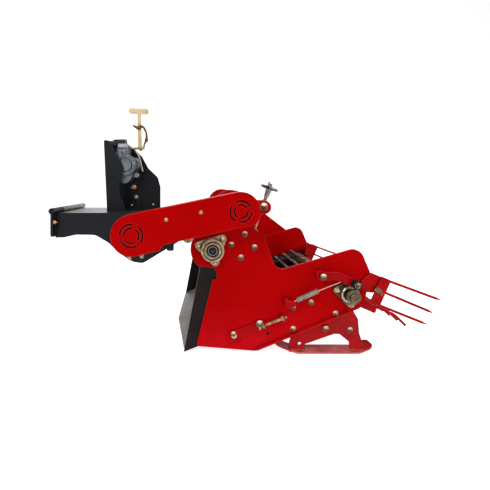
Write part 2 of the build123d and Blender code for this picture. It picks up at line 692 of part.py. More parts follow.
# columns: x, z, corner radius
ARM_OUTLINE = [
    (HITCH_FRONT, DECK_TOP, 0),
    (DECK_END, DECK_TOP, 20),
    (arm_top.X, arm_top.Y, 0),
    (PIVOT_X, PIVOT_Z, 0),
    (arm_low.X, arm_low.Y, 0),
    (arm_knee.X, arm_knee.Y, 40),
    (-228, 247, 25),
    (-262, 251, 40),
    (-312, 282, 60),
    (-345, 316, 40),
    (-392, 344, 40),
    (-459, 345, 40),
    (-499, 335.5, 20),
    (HITCH_FRONT, 335, 0),
]
arm_face = outline(ARM_OUTLINE) + disc(PIVOT_X, PIVOT_Z, ARM_HALF_WIDTH)
arm_face -= disc(PIVOT_X, PIVOT_Z, SLEEVE_RADIUS + SEAT_FIT)
arm_face -= disc(CASE_FRONT_X, CASE_FRONT_Z, SLEEVE_RADIUS + SEAT_FIT)
NUT_RADIUS = 16.0
NUT_LENGTH = 30.0
TAIL_WIDTH = 12.0
tail_run = NUT - Vector(PIVOT_X, ARM_NEAR_Y, PIVOT_Z)
tail_along = tail_run.normalized()
tail_end = Vector(PIVOT_X, 0, PIVOT_Z) + tail_along * (tail_run.length - 18)
tail_face = hull((PIVOT_X, PIVOT_Z, 34), (tail_end.X, tail_end.Z, TAIL_WIDTH))
tail_face -= disc(PIVOT_X, PIVOT_Z, SLEEVE_RADIUS + SEAT_FIT)
arm_low_y = ARM_NEAR_Y - ARM_PLATE / 2
tail = upright(tail_face, arm_low_y, ARM_PLATE)
tail -= bar_y(NUT.X, NUT.Z, NUT_RADIUS + SEAT_FIT, arm_low_y, arm_low_y + ARM_PLATE)
tail -= bar_between(TRUNNION + SCREW_DIRECTION * 40, NUT - SCREW_DIRECTION * 60, SCREW_RADIUS + 5)
near_arm = upright(arm_face, arm_low_y, ARM_PLATE) + tail
far_arm = far_side(upright(arm_face, arm_low_y, ARM_PLATE))
save("hitch_arms", near_arm, far_arm)

nut_barrel = bar_y(NUT.X, NUT.Z, NUT_RADIUS, NUT.Y - NUT_LENGTH / 2, NUT.Y + NUT_LENGTH / 2)
nut_barrel -= bar_between(NUT + SCREW_DIRECTION * 30, NUT - SCREW_DIRECTION * 30, SCREW_RADIUS + 1.5)
save("screw_nut", nut_barrel)

# ---- depth screw ----
spindle = bar_between(
    NUT - SCREW_DIRECTION * 28, TRUNNION + SCREW_DIRECTION * (WHEEL_HEIGHT + 16), SCREW_RADIUS
)
for offset in (-20, 20):
    collar_middle = TRUNNION + SCREW_DIRECTION * offset
    collar = (collar_middle - SCREW_DIRECTION * 4, collar_middle + SCREW_DIRECTION * 4)
    spindle += bar_between(*collar, SCREW_RADIUS + 4)
save("screw_spindle", spindle)
trunnion = bar_y(LUG_X, LUG_Z, 15, ARM_NEAR_Y - LUG_GAP / 2 + 0.5, ARM_NEAR_Y + LUG_GAP / 2 - 0.5)
trunnion += bar_y(
    LUG_X,
    LUG_Z,
    TRUNNION_PIN,
    ARM_NEAR_Y - LUG_GAP / 2 - EAR_PLATE - 2,
    ARM_NEAR_Y + LUG_GAP / 2 + EAR_PLATE + 2,
)
trunnion -= bar_between(
    TRUNNION - SCREW_DIRECTION * 30, TRUNNION + SCREW_DIRECTION * 30, SCREW_RADIUS + SEAT_FIT
)
trunnion -= bar_between(
    TRUNNION - SCREW_DIRECTION * 30, TRUNNION - SCREW_DIRECTION * 15.5, SCREW_RADIUS + 6
)
trunnion -= bar_between(
    TRUNNION + SCREW_DIRECTION * 30, TRUNNION + SCREW_DIRECTION * 15.5, SCREW_RADIUS + 6
)
save("screw_trunnion", trunnion)

wheel_plane = Plane(origin=TRUNNION + SCREW_DIRECTION * WHEEL_HEIGHT, z_dir=SCREW_DIRECTION)
rim = revolve(Plane.XZ * Pos(WHEEL_RADIUS - 3.5, 0) * RegularPolygon(3.6, 8), Axis.Z)
spoke = Cylinder(2.6, WHEEL_RADIUS - 12, align=(Align.CENTER, Align.CENTER, Align.MIN))
spokes = [Rot(0, 0, turn) * Pos(8, 0, 0) * Rot(0, 90, 0) * spoke for turn in (5, 125, 245)]
wheel = Cylinder(11, 14) + spokes + rim
wheel += Pos(0, 0, -21) * Cone(7.5, 11, 30)
peg = Cone(3.4, 2.6, 24, align=(Align.CENTER, Align.CENTER, Align.MIN))
wheel += Pos(0, WHEEL_RADIUS - 3.5, 0) * peg
wheel -= Cylinder(SCREW_RADIUS + SEAT_FIT, 120)
save("handwheel", wheel_plane * wheel)

# ---- hitch deck and plate ----
deck_half = -ARM_NEAR_Y - ARM_PLATE / 2
deck = Box(DECK_END - HITCH_FRONT, 2 * deck_half, DECK_PLATE, align=(Align.MIN, Align.CENTER, Align.MAX))
save("hitch_deck", Pos(HITCH_FRONT, 0, DECK_TOP) * deck)
hitch_plate = Box(
    HITCH_PLATE,
    HITCH_PLATE_WIDTH,
    HITCH_BAR_Z - HITCH_PLATE_LOW,
    align=(Align.MAX, Align.CENTER, Align.MIN),
)
hitch_plate = fillet(hitch_plate.edges().filter_by(Axis.X).group_by(Axis.Z)[0], 8)
hitch_plate = Pos(HITCH_FRONT, 0, HITCH_PLATE_LOW) * hitch_plate
bar_x = HITCH_FRONT - HITCH_PLATE / 2
bar_half = HITCH_PLATE_WIDTH / 2
hitch_bar = bar_y(bar_x, HITCH_BAR_Z, HITCH_BAR_RADIUS, -bar_half, bar_half)
room = Box(200, 400, 60, align=(Align.MIN, Align.CENTER, Align.MAX))
hitch_bar -= Pos(HITCH_FRONT - SEAT_FIT, 0, DECK_TOP + SEAT_FIT) * room
hitch_plate += hitch_bar
hole_spread = HITCH_PLATE_WIDTH - 2 * HITCH_HOLE_EDGE
for hole_y in (-hole_spread / 2, hole_spread / 2):
    for hole_z in (HITCH_HOLE_LOW, HITCH_HOLE_HIGH):
        hole = Pos(HITCH_FRONT, hole_y, hole_z) * Rot(0, 90, 0) * Cylinder(HITCH_HOLE_RADIUS, 40)
        hitch_plate -= hole
save("hitch_plate", hitch_plate)

# ---- uprights ----
NEAR_UPRIGHT = [
    (-384, 682, 4),
    (-364, 680, 8),
    (-322, 603, 0),
    (-312, 580, 12),
    (-328, 516, 12),
    (-328, 487, 12),
    (-308, 435, 8),
    (-306, DECK_TOP, 0),
    (-372, DECK_TOP, 0),
]
FAR_UPRIGHT = [
    (-384, 690, 6),
    (-372, 700, 6),
    (-334, 702, 6),
    (-322, 676, 6),
    (-296, 668, 8),
    (-260, 632, 20),
    (-234, 584, 30),
    (-196, 548, 30),
    (-185, 509, 16),
    (-185, DECK_TOP, 0),
    (-372, DECK_TOP, 0),
]
upright_low = -UPRIGHT_GAP / 2 - UPRIGHT_PLATE
near_upright = upright(outline(NEAR_UPRIGHT), upright_low, UPRIGHT_PLATE)
far_upright = upright(outline(FAR_UPRIGHT), UPRIGHT_GAP / 2, UPRIGHT_PLATE)
save("gearbox_uprights", near_upright, far_upright)
FOOT_LEG = 28.0
FOOT_PLATE = 5.0
# columns: first x, last x, face of the upright, direction away from it
FOOT_ROWS = [(-366, -312, -UPRIGHT_GAP / 2, 1), (-330, -264, UPRIGHT_GAP / 2, -1)]
feet = []
for first, last, face_y, away in FOOT_ROWS:
    side = Align.MIN if away > 0 else Align.MAX
    wall = Box(last - first, FOOT_PLATE, FOOT_LEG, align=(Align.MIN, side, Align.MIN))
    sole = Box(last - first, FOOT_LEG, FOOT_PLATE, align=(Align.MIN, side, Align.MIN))
    feet.append(Pos(first, face_y, DECK_TOP) * (wall + sole))
save("upright_feet", *feet)

# ---- gearbox ----
NECK_REAR = GEARBOX_X + 9
BRACKET_Z = INPUT_Z - 13
housing = bar_y(GEARBOX_X, GEARBOX_Z, GEARBOX_RADIUS, -36, 40)
housing += bar_y(GEARBOX_X, GEARBOX_Z, 24, 40, UPRIGHT_GAP / 2)
neck = Box(NECK_REAR - BOSS_FRONT, 60, 48, align=(Align.MAX, Align.CENTER, Align.MAX))
housing += Pos(NECK_REAR, 0, BRACKET_Z + 2) * fillet(neck.edges().filter_by(Axis.Z), 6)
housing += bar_y(NECK_REAR - 24, BRACKET_Z - 16, 8, -34, 0)
cap = Box(40, 64, 16, align=(Align.MAX, Align.CENTER, Align.MIN))
housing += Pos(NECK_REAR, 0, BRACKET_Z + 1) * chamfer(cap.edges().filter_by(Axis.Y), 4)
# columns: x, z, corner radius
GEARBOX_FOOT = [
    (GEARBOX_X - 26, GEARBOX_Z - 20, 0),
    (GEARBOX_X + 24, GEARBOX_Z - 20, 0),
    (GEARBOX_X + 24, GEARBOX_Z - 42, 5),
    (GEARBOX_X + 8, GEARBOX_Z - 63, 8),
    (GEARBOX_X - 6, GEARBOX_Z - 69, 6),
    (GEARBOX_X - 20, GEARBOX_Z - 64, 6),
]
housing += upright(outline(GEARBOX_FOOT), -30, 60)
side_box = Box(28, 50, 40)
housing += Pos(GEARBOX_X + 32, 0, GEARBOX_Z + 8) * fillet(side_box.edges().filter_by(Axis.Y), 6)
housing += Pos(GEARBOX_X + 28, -10, GEARBOX_Z - 39) * Rot(0, 90, 0) * Cylinder(8, 34)
housing += bar_y(GEARBOX_X + 38, GEARBOX_Z - 37, 9, -26, 0)
housing_seat = Cylinder(
    INPUT_HOUSING_RADIUS + SEAT_FIT,
    INPUT_HOUSING_REAR - BOSS_FRONT + 5,
    align=(Align.CENTER, Align.CENTER, Align.MIN),
)
housing -= Pos(BOSS_FRONT - 5, 0, INPUT_Z) * Rot(0, 90, 0) * housing_seat
save("gearbox_housing", housing)
input_housing = Cylinder(
    INPUT_HOUSING_RADIUS,
    INPUT_HOUSING_REAR - BOSS_FRONT,
    align=(Align.CENTER, Align.CENTER, Align.MIN),
)
input_housing -= Cylinder(
    INPUT_SHAFT + RUNNING_FIT, 20, align=(Align.CENTER, Align.CENTER, Align.MIN)
)
input_housing = Pos(BOSS_FRONT, 0, INPUT_Z) * Rot(0, 90, 0) * input_housing
save("input_bearing_housing", input_housing)
cover = bar_y(GEARBOX_X, GEARBOX_Z, GEARBOX_RADIUS - 3, -41, -36)
cover += bar_y(GEARBOX_X, GEARBOX_Z, 30, -44, -41)
cover -= bar_y(GEARBOX_X, GEARBOX_Z, 26, -44, -39)
cover += bar_y(GEARBOX_X, GEARBOX_Z, 22, -UPRIGHT_GAP / 2, -36)
save("gearbox_cover", cover)
coupling = Cylinder(
    COUPLING_RADIUS, COUPLING_REAR - COUPLING_FRONT, align=(Align.CENTER, Align.CENTER, Align.MIN)
)
coupling += Cylinder(
    INPUT_SHAFT, BOSS_FRONT + 19.5 - COUPLING_FRONT, align=(Align.CENTER, Align.CENTER, Align.MIN)
)
coupling -= Cylinder(COUPLING_BORE, COUPLING_DEPTH, align=(Align.CENTER, Align.CENTER, Align.MIN))
save("input_coupling", Pos(COUPLING_FRONT, 0, INPUT_Z) * Rot(0, 90, 0) * coupling)

# ---- selector handle, its bracket, strap and lever ----
HANDLE_X = -259.0
BRACKET_PLATE = 5.0
handle_bracket = Box(56, 30, BRACKET_PLATE, align=(Align.MIN, Align.CENTER, Align.MIN))
handle_bracket = Pos(NECK_REAR, 0, BRACKET_Z) * handle_bracket
bracket_top = BRACKET_Z + BRACKET_PLATE
save("handle_bracket", handle_bracket)
handle_face = outline([(-266, 664, 2), (-270, 800, 0), (-256, 800, 0), (-252, 664, 2)])
grip = hull((-293, 803, 10.5), (-236, 800, 10.5))
handle = upright(handle_face + grip, -3, 6)
handle += Pos(HANDLE_X, 0, bracket_top + 2) * Cylinder(10, 4)
save("selector_handle", handle)
STRAP_PATH = [
    (-282, -7, 743),
    (-266, -9, 731),
    (-247, -6, 741),
    (-234, 0, 716),
    (-231, 0, 690),
    (-242, 0, 676),
    (-245, 0, bracket_top + 0.9),
]
strap_line = FilletPolyline(*STRAP_PATH, radius=6)
strap = sweep(Plane(origin=strap_line @ 0, z_dir=strap_line % 0) * Circle(3), path=strap_line)
save("keeper_strap", strap)
lever_line = Plane.XZ * FilletPolyline((-280, 654), (-262, 627), (-248, 569), radius=40)
lever_start = Plane(origin=lever_line @ 0, z_dir=lever_line % 0, x_dir=(0, 1, 0))
clutch_lever = sweep(lever_start * Rectangle(12, 3), path=lever_line)
save("clutch_lever", clutch_lever)


# ---- chain case ----
def on_case(along, up):
    """A place on the case, along and above the line of its two shafts."""
    place = Vector(CASE_FRONT_X, CASE_FRONT_Z) + arm_along * along + arm_up * up
    return place.X, place.Y


def case_outline(inset):
    face = hull(
        (CASE_FRONT_X, CASE_FRONT_Z, CASE_FRONT_RADIUS - inset),
        (PIVOT_X, PIVOT_Z, CASE_REAR_RADIUS - inset),
    )
    # columns: along the case, above its line of shafts
    step_rows = [(66, -90), (68, -56), (83, -43.5), (400, -43.5), (400, -90)]
    step = [(*on_case(along, up + inset), 0) for along, up in step_rows]
    return face - outline(step)


VENT_SLOT = 4.5
VENT_GAP = 26.0
# columns: shaft x, shaft z, angle of the first gap, outer and inner ring radius
VENTS = [
    (CASE_FRONT_X, CASE_FRONT_Z, 71.0, 32.0, 20.5),
    (PIVOT_X, PIVOT_Z, 12.5, 29.5, 18.0),
]
case = upright(case_outline(0), CASE_FACE_Y, CASE_DEPTH)
case -= upright(case_outline(CASE_WALL), CASE_FACE_Y + CASE_WALL, CASE_DEPTH - CASE_WALL)
for vent_x, vent_z, first_gap, *vent_radii in VENTS:
    for radius in vent_radii:
        ring = disc(vent_x, vent_z, radius + VENT_SLOT / 2) - disc(vent_x, vent_z, radius - VENT_SLOT / 2)
        for number in range(3):
            turn = first_gap + 120 * number
            bridge = Rectangle(radius * 2, 2 * radius * math.sin(math.radians(VENT_GAP / 2)))
            ring -= Pos(vent_x, vent_z) * Rot(0, 0, turn) * Pos(radius, 0) * bridge
        case -= upright(ring, CASE_FACE_Y - 1, CASE_WALL + 2)
save("chain_case", case)
case_back = upright(case_outline(0), CASE_BACK_Y, CASE_WALL)
save("case_back_plate", case_back)

sleeve_near = CASE_BACK_Y + CASE_WALL
cross_sleeve_far = -NEAR_FACE - 25
SLEEVE_BORE = SHAFT_RADIUS + SEAT_FIT
cross_sleeve = bar_y(PIVOT_X, PIVOT_Z, SLEEVE_RADIUS, sleeve_near, cross_sleeve_far)
cross_sleeve -= bar_y(PIVOT_X, PIVOT_Z, SLEEVE_BORE, sleeve_near, cross_sleeve_far)
save("cross_shaft_sleeve", cross_sleeve)
save("cross_shaft", bar_y(PIVOT_X, PIVOT_Z, SHAFT_RADIUS, sleeve_near, far_face + 30))
front_sleeve = bar_y(CASE_FRONT_X, CASE_FRONT_Z, SLEEVE_RADIUS, sleeve_near, -arm_low_y)
save("front_shaft_sleeve", front_sleeve)

boss_x, boss_z = on_case(150, -47)
save("tensioner_boss", bar_y(boss_x, boss_z, 16, sleeve_near, sleeve_near + 12))
# columns: x, z, corner radius
TAB_OUTLINE = [(-146, 360, 0), (-122, 365, 0), (-122, 291, 6), (-146, 291, 6)]
save("stop_tab", upright(outline(TAB_OUTLINE), arm_low_y - 8, 8))

print("origin shift", ORIGIN_X, ORIGIN_Y)
print("nut", NUT, "case front", CASE_FRONT_X, CASE_FRONT_Z)
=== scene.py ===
# %% [markdown]
# # A one-row potato digger in paint and metal
# The machine arrives as a frame of exact solids: plates, shafts, a rod web, a hitch and a
# gearbox, each on the body that moves it. This script gives them paint and metal, adds the
# fasteners, welds and coils that are too fine for the solids, and sets a quiet studio.

# %% Load the frame
import bpy, bmesh, math
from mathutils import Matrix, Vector


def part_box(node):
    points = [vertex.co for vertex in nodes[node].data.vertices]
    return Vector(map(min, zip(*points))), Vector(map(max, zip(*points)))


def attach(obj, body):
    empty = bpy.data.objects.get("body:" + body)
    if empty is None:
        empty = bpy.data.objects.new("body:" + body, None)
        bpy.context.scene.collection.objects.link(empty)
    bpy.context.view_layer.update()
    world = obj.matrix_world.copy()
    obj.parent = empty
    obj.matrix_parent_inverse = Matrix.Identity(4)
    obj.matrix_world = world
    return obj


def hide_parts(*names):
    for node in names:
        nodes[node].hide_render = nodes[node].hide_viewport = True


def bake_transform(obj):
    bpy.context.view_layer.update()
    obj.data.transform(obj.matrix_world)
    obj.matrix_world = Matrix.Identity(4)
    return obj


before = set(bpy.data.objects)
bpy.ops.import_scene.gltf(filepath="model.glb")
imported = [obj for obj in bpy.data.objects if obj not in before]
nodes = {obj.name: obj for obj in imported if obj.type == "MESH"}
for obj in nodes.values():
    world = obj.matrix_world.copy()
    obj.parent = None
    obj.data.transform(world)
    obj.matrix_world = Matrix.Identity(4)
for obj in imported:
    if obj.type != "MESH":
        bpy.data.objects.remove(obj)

scene = bpy.context.scene
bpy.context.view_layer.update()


# %% [markdown]
# ## A place to measure from
# The front shaft runs across the machine at its bearing, so the middle of its box is the point
# that everything else is measured from: x rearwards of it, z above the floor, y from the middle
# of the row. Reading it from the solids keeps every piece in place if the frame is rebuilt.

# %% Measure from the front shaft
shaft_low, shaft_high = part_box("front_shaft")
ROW_X = (shaft_low[0] + shaft_high[0]) / 2
ROW_Y = (shaft_low[1] + shaft_high[1]) / 2
PLATE_Y = 240  # outer face of the side plates
FRONT_BEARING, WEB_BEARING = (0, 319), (412, 186)  # x and z of the two shafts on the plates
SIDES = (-1, 1)  # near and far


def at(x, y, z):
    """A point in metres from millimetres in the machine's own layout."""
    return Vector((x / 1000 + ROW_X, y / 1000 + ROW_Y, z / 1000))


print("front shaft at", round(ROW_X, 4), round(ROW_Y, 4))


# %% [markdown]
# ## Node helpers
# Every tree below is a short list of nodes, each given its values and the sockets that feed it.
# A small class keeps that readable: it fills a node, adds one, or takes one of its outputs.
# Products and ranges turn up most, so those two have their own. A group starts with its named
# sockets.

# %% Node helpers
class Tree:
    """Adds nodes to a node tree; kinds are named without the tree's own prefix."""

    def __init__(self, tree):
        self.tree = tree
        self.prefix = tree.bl_idname.replace("Tree", "")

    def fill(self, node, values):
        """Give sockets what they take: a value, another node's socket, or a list of sockets."""
        for key, value in values.items():
            for source in value if isinstance(value, list) else [value]:
                if isinstance(source, bpy.types.NodeSocket):
                    self.tree.links.new(source, node.inputs[key])
                else:
                    node.inputs[key].default_value = source

    def add(self, kind, values=None, **settings):
        """A new node, with its settings and filled sockets."""
        node = self.tree.nodes.new(kind if "Node" in kind else self.prefix + kind)
        for key, value in settings.items():
            setattr(node, key, value)
        self.fill(node, values or {})
        return node

    def take(self, kind, values=None, output=0, **settings):
        """One output of a new node."""
        return self.add(kind, values, **settings).outputs[output]

    def math(self, operation, *operands, clamp=False):
        """A Math node's result; each operand is a socket or a number."""
        return self.take("ShaderNodeMath", dict(enumerate(operands)), operation=operation, use_clamp=clamp)

    def times(self, first, second, clamp=False):
        return self.math("MULTIPLY", first, second, clamp=clamp)

    def ranged(self, value, low, high, to_low=0.0, to_high=1.0):
        """A value carried from the range low to high into the range to_low to to_high."""
        return self.take("ShaderNodeMapRange", {0: value, 1: low, 2: high, 3: to_low, 4: to_high})

    def give(self, **results):
        """The group's results, by the names of its output sockets."""
        self.add("NodeGroupOutput", results)


def new_group(name, kind, inputs, outputs):
    """An empty node group with named sockets, and the sockets of its input node."""
    tree = bpy.data.node_groups.new(name, kind)
    for title, socket_type, default in inputs:
        socket = tree.interface.new_socket(title, in_out="INPUT", socket_type=socket_type)
        if default is not None:
            socket.default_value = default
    for title, socket_type in outputs:
        tree.interface.new_socket(title, in_out="OUTPUT", socket_type=socket_type)
    return Tree(tree), tree.nodes.new("NodeGroupInput").outputs


def set_ramp(ramp, stops, tones):
    """The two ends of a colour ramp."""
    for element, stop, tone in zip(ramp.color_ramp.elements, stops, tones):
        element.position = stop
        element.color = (*tone, 1)


FLOAT, WHOLE, SHAPE = "NodeSocketFloat", "NodeSocketInt", "NodeSocketGeometry"
VECTOR, MATERIAL = "NodeSocketVector", "NodeSocketMaterial"
FACTOR, MASK = [("Amount", FLOAT, 1.0)], [("Mask", FLOAT)]
print("node helpers ready")


# %% [markdown]
# ## Edge wear and painted edge highlight
# Powder coat thins on a cut edge, and handling burnishes it, so an edge catches more light than
# the face beside it. The lighter edge colour is also a painted highlight, standing in for the
# light that the edges catch. A mask for that could be painted by hand, but the Bevel node finds
# every edge by itself: where the rounded normal parts from the true one, there is an edge. Noise
# breaks the line up, so that it doesn't look drawn.

# %% Group: edge wear and painted edge highlight
edge_wear_and_sheen, given = new_group(
    "edge_wear_and_highlight", "ShaderNodeTree",
    [("Width", FLOAT, 0.002), ("Amount", FLOAT, 1.0), ("Break Up", FLOAT, 60.0)], MASK)
rounded = edge_wear_and_sheen.take("Bevel", {"Radius": given["Width"]}, samples=4)
flat = edge_wear_and_sheen.take("NewGeometry", output="Normal")
match = edge_wear_and_sheen.take("VectorMath", {0: rounded, 1: flat}, "Value", operation="DOT_PRODUCT")
place = edge_wear_and_sheen.take("TexCoord", output="Object")
noise = edge_wear_and_sheen.take("TexNoise", {
    "Vector": place, "Scale": given["Break Up"], "Detail": 3.0, "Roughness": 0.6})
worn_and_lit = edge_wear_and_sheen.times(edge_wear_and_sheen.ranged(match, 0.995, 0.80), edge_wear_and_sheen.ranged(noise, 0.35, 0.62, 0.35))
edge_wear_and_sheen.give(Mask=edge_wear_and_sheen.times(worn_and_lit, given["Amount"], clamp=True))
print("edge wear nodes", len(edge_wear_and_sheen.tree.nodes))


# %% [markdown]
# ## Shop handling
# A new machine still carries traces of the workshop: a film of dust low down, faint rub marks,
# and broad patches where the coat cured a little deeper. On the reds the low film is lighter and
# pinker, a painted reflection of the floor. One group gives all three as masks, and each finish
# decides how strongly to use them.

# %% Group: shop handling
shop, given = new_group(
    "shop_handling", "ShaderNodeTree",
    [("Patch Size", FLOAT, 7.0), ("Scratch Density", FLOAT, 0.5), ("Dust Height", FLOAT, 0.09)],
    [("Patches", FLOAT), ("Scratches", FLOAT), ("Dust", FLOAT)])
place = shop.take("TexCoord", output="Object")
patches = shop.take("TexNoise", {
    "Vector": place, "Scale": given["Patch Size"], "Detail": 4.0, "Roughness": 0.55})
stretched = shop.take("Mapping", {"Vector": place, "Scale": (22, 60, 260), "Rotation": (0, 0.5, 0)})
streaks = shop.take("TexNoise", {"Vector": stretched, "Scale": 1.0, "Detail": 2.0})
scratches = shop.times(shop.ranged(streaks, 0.70, 0.76), given["Scratch Density"])
height = shop.take("SeparateXYZ", {0: place}, "Z")
# Low down: dust, and on the reds a painted reflection of the floor.
low = shop.ranged(height, 0.0, given["Dust Height"], 1.0, 0.0)
cloud = shop.take("TexNoise", {"Vector": place, "Scale": 24.0, "Detail": 6.0})
shop.give(Patches=patches, Scratches=scratches, Dust=shop.times(low, cloud))
print("shop handling nodes", len(shop.tree.nodes))


# %% [markdown]
# ## Cavities
# Where a ring meets a flange or a rib meets a wall, the colour is darkened as painted shade.
# The Ambient Occlusion node tells how closed in a point is, so a range of it makes the mask.

# %% Group: cavities
shade_in_hollows, given = new_group(
    "painted_shade_in_hollows", "ShaderNodeTree", [("Reach", FLOAT, 0.010), ("Amount", FLOAT, 0.5)], MASK)
opened = shade_in_hollows.take("AmbientOcclusion", {"Distance": given["Reach"]}, "AO", samples=6)
deep = shade_in_hollows.ranged(opened, 0.25, 0.85, 1.0, 0.0)
shade_in_hollows.give(Mask=shade_in_hollows.times(deep, given["Amount"], clamp=True))
print("cavity nodes", len(shade_in_hollows.tree.nodes))


# %% [markdown]
# ## What faces up
# Whatever faces up is painted paler, a painted highlight as if lit from above, while what faces
# down keeps its darker tone. The surface's normal has its height in Z, so a range of Z makes that mask.

# %% Group: painted glint on upward faces
painted_top_glint, given = new_group("painted_glint_on_top", "ShaderNodeTree", FACTOR, MASK)
normal = painted_top_glint.take("NewGeometry", output="Normal")
upward = painted_top_glint.ranged(painted_top_glint.take("SeparateXYZ", {0: normal}, "Z"), 0.26, 0.60)
painted_top_glint.give(Mask=painted_top_glint.times(upward, given["Amount"], clamp=True))
print("upper film nodes", len(painted_top_glint.tree.nodes))


# %% [markdown]
# ## What lies under the web
# Under the web the inner sides of the plates are darkened as painted shade. A plane laid along the web and
# the distance from the middle of the row give that mask, so no second coat has to be painted.

# %% Group: under the web
WEB_EDGE = 0.012  # half of the soft border along the web
PLATE_INSIDE = (0.2352, 0.2368)  # where the mask ends, inside the plates
web_shade, given = new_group("painted_shade_under_web", "ShaderNodeTree", FACTOR, MASK)
web_low, web_high = at(66, 0, 78), at(412, 0, 206)
web_up = Vector((web_low.z - web_high.z, 0, web_high.x - web_low.x)).normalized()
web_level = web_up.dot(web_low)
place = web_shade.take("TexCoord", output="Object")
height = web_shade.take("VectorMath", {0: place, 1: tuple(web_up)}, "Value", operation="DOT_PRODUCT")
below = web_shade.ranged(height, web_level - WEB_EDGE, web_level + WEB_EDGE, 1.0, 0.0)
across = web_shade.take("SeparateXYZ", {0: place}, "Y")
distance = web_shade.math("ABSOLUTE", web_shade.math("SUBTRACT", across, ROW_Y))
hidden = web_shade.times(below, web_shade.ranged(distance, *PLATE_INSIDE, 1.0, 0.0))
web_shade.give(Mask=web_shade.times(hidden, given["Amount"], clamp=True))
print("web's upward direction", [round(v, 3) for v in web_up])


# %% [markdown]
# ## Fine surface
# Powder coat has a faint orange peel, and a casting has a sandy skin with small pits. Both are
# noise in the bump, at different sizes, so one group serves them with its own sizes each time.

# %% Group: fine surface
skin, given = new_group(
    "fine_surface", "ShaderNodeTree",
    [("Grain Size", FLOAT, 400.0), ("Strength", FLOAT, 0.1), ("Pits", FLOAT, 0.0)], [("Height", FLOAT)])
place = skin.take("TexCoord", output="Object")
spread = {"Vector": place, "Scale": given["Grain Size"]}
grain = skin.take("TexNoise", {**spread, "Detail": 3.0, "Roughness": 0.5})
cells = skin.take("TexVoronoi", spread, "Distance", feature="SMOOTH_F1")
skin.give(Height=skin.math("ADD", skin.times(grain, given["Strength"]), skin.times(cells, given["Pits"])))
print("fine surface nodes", len(skin.tree.nodes))


# %% [markdown]
# ## The finishes
# Each finish is one Principled shader with constant gloss and metal, and a base colour that is
# built up in layers: two tones of the same colour in broad patches, then scratches, then the
# burnished edge, which is also a painted highlight, then dust, which on the reds is a painted
# reflection of the floor, then painted shade in hollows and under the web and a painted glint on
# upward faces where a finish asks for them. A single helper lays them down, because red paint,
# black paint and plated steel differ in values and not in the way that they are built up.

# %% A helper for layered finishes
TONE_STOPS = (0.36, 0.64)  # where the two tones stand on the patches' noise
BUMP_DEPTH = 0.0006


def finish(name, tones, edge, gloss, metallic=0.0, specular=0.5, edge_amount=0.5,
           edge_width=0.001, scratch=(0.06, 0.062, 0.068), scratches=0.3, dust_and_sheen=0.0, grain=450.0,
           relief=0.05, pits=0.0, patch=60.0, rough_vary=0.08, dust_and_sheen_colour=(0.28, 0.24, 0.2),
           bump=0.2, hollow_shade=0.0, reach=0.010, hollow_shade_colour=(0.006, 0.005, 0.004),
           dust_and_sheen_height=0.09, top_glint=0.0, top_glint_colour=(0.9, 0.8, 0.6), under_web_shade=0.0,
           under_web_shade_colour=(0.02, 0.002, 0.002)):
    """Two tones under scratches, burnished edges that are also a painted highlight, dust that on the reds
    is a painted floor reflection, and whichever masks of painted shade and glint are asked for.
    """
    material = bpy.data.materials.new(name)
    material.use_nodes = True
    tree = Tree(material.node_tree)

    def masks(group, values):
        return tree.add("Group", values, node_tree=group.tree).outputs

    marks = masks(shop, {"Patch Size": patch, "Scratch Density": scratches, "Dust Height": dust_and_sheen_height})
    # Edge wear, which also serves as a painted edge highlight.
    edges = masks(edge_wear_and_sheen, {"Width": edge_width, "Amount": edge_amount})
    # The low film is dust, and on the reds a painted reflection of the floor.
    dust_and_sheen_mask = tree.times(marks["Dust"], dust_and_sheen * 2.0, clamp=True)
    layers = [(marks["Scratches"], scratch), (edges["Mask"], edge), (dust_and_sheen_mask, dust_and_sheen_colour)]
    # Painted shade in hollows and under the web, and a painted glint on upward faces.
    for amount, group, values, layer_colour in (
            (hollow_shade, shade_in_hollows, {"Reach": reach}, hollow_shade_colour),
            (top_glint, painted_top_glint, {}, top_glint_colour), (under_web_shade, web_shade, {}, under_web_shade_colour)):
        if amount:
            layers.append((masks(group, {**values, "Amount": amount})["Mask"], layer_colour))
    ramp = tree.add("ValToRGB", {"Fac": marks["Patches"]})
    set_ramp(ramp, TONE_STOPS, tones)
    colour = ramp.outputs["Color"]
    for mask, layer_colour in layers:
        colour = tree.take("Mix", {0: mask, 6: colour, 7: (*layer_colour, 1)}, 2, data_type="RGBA")
    rough = tree.ranged(marks["Patches"], 0.3, 0.7, gloss - rough_vary, gloss + rough_vary)
    fine = masks(skin, {"Grain Size": grain, "Strength": relief, "Pits": pits})
    tree.fill(material.node_tree.nodes["Principled BSDF"], {
        "Metallic": metallic, "Specular IOR Level": specular, "Base Color": colour,
        "Roughness": tree.math("ADD", rough, dust_and_sheen_mask, clamp=True),
        "Normal": tree.take("Bump", {
            "Strength": bump, "Distance": BUMP_DEPTH, "Height": fine["Height"]}),
    })
    return material


print("tone stops", TONE_STOPS, "bump depth", BUMP_DEPTH)


# %% [markdown]
# ## Paints
# The body is a deep red powder coat, duller on the brackets and lighter and pinker low on the skids,
# a painted reflection of the floor, and the hitch and gearbox stand are satin black. The deck is the
# same black with more gloss, because its wide flat top came out of the booth smoother.

# %% Mix the paints
GREY_DUST = (0.06, 0.055, 0.05)
BRACKET_TONES = ((0.38, 0.0006, 0.0024), (0.54, 0.0010, 0.0036))
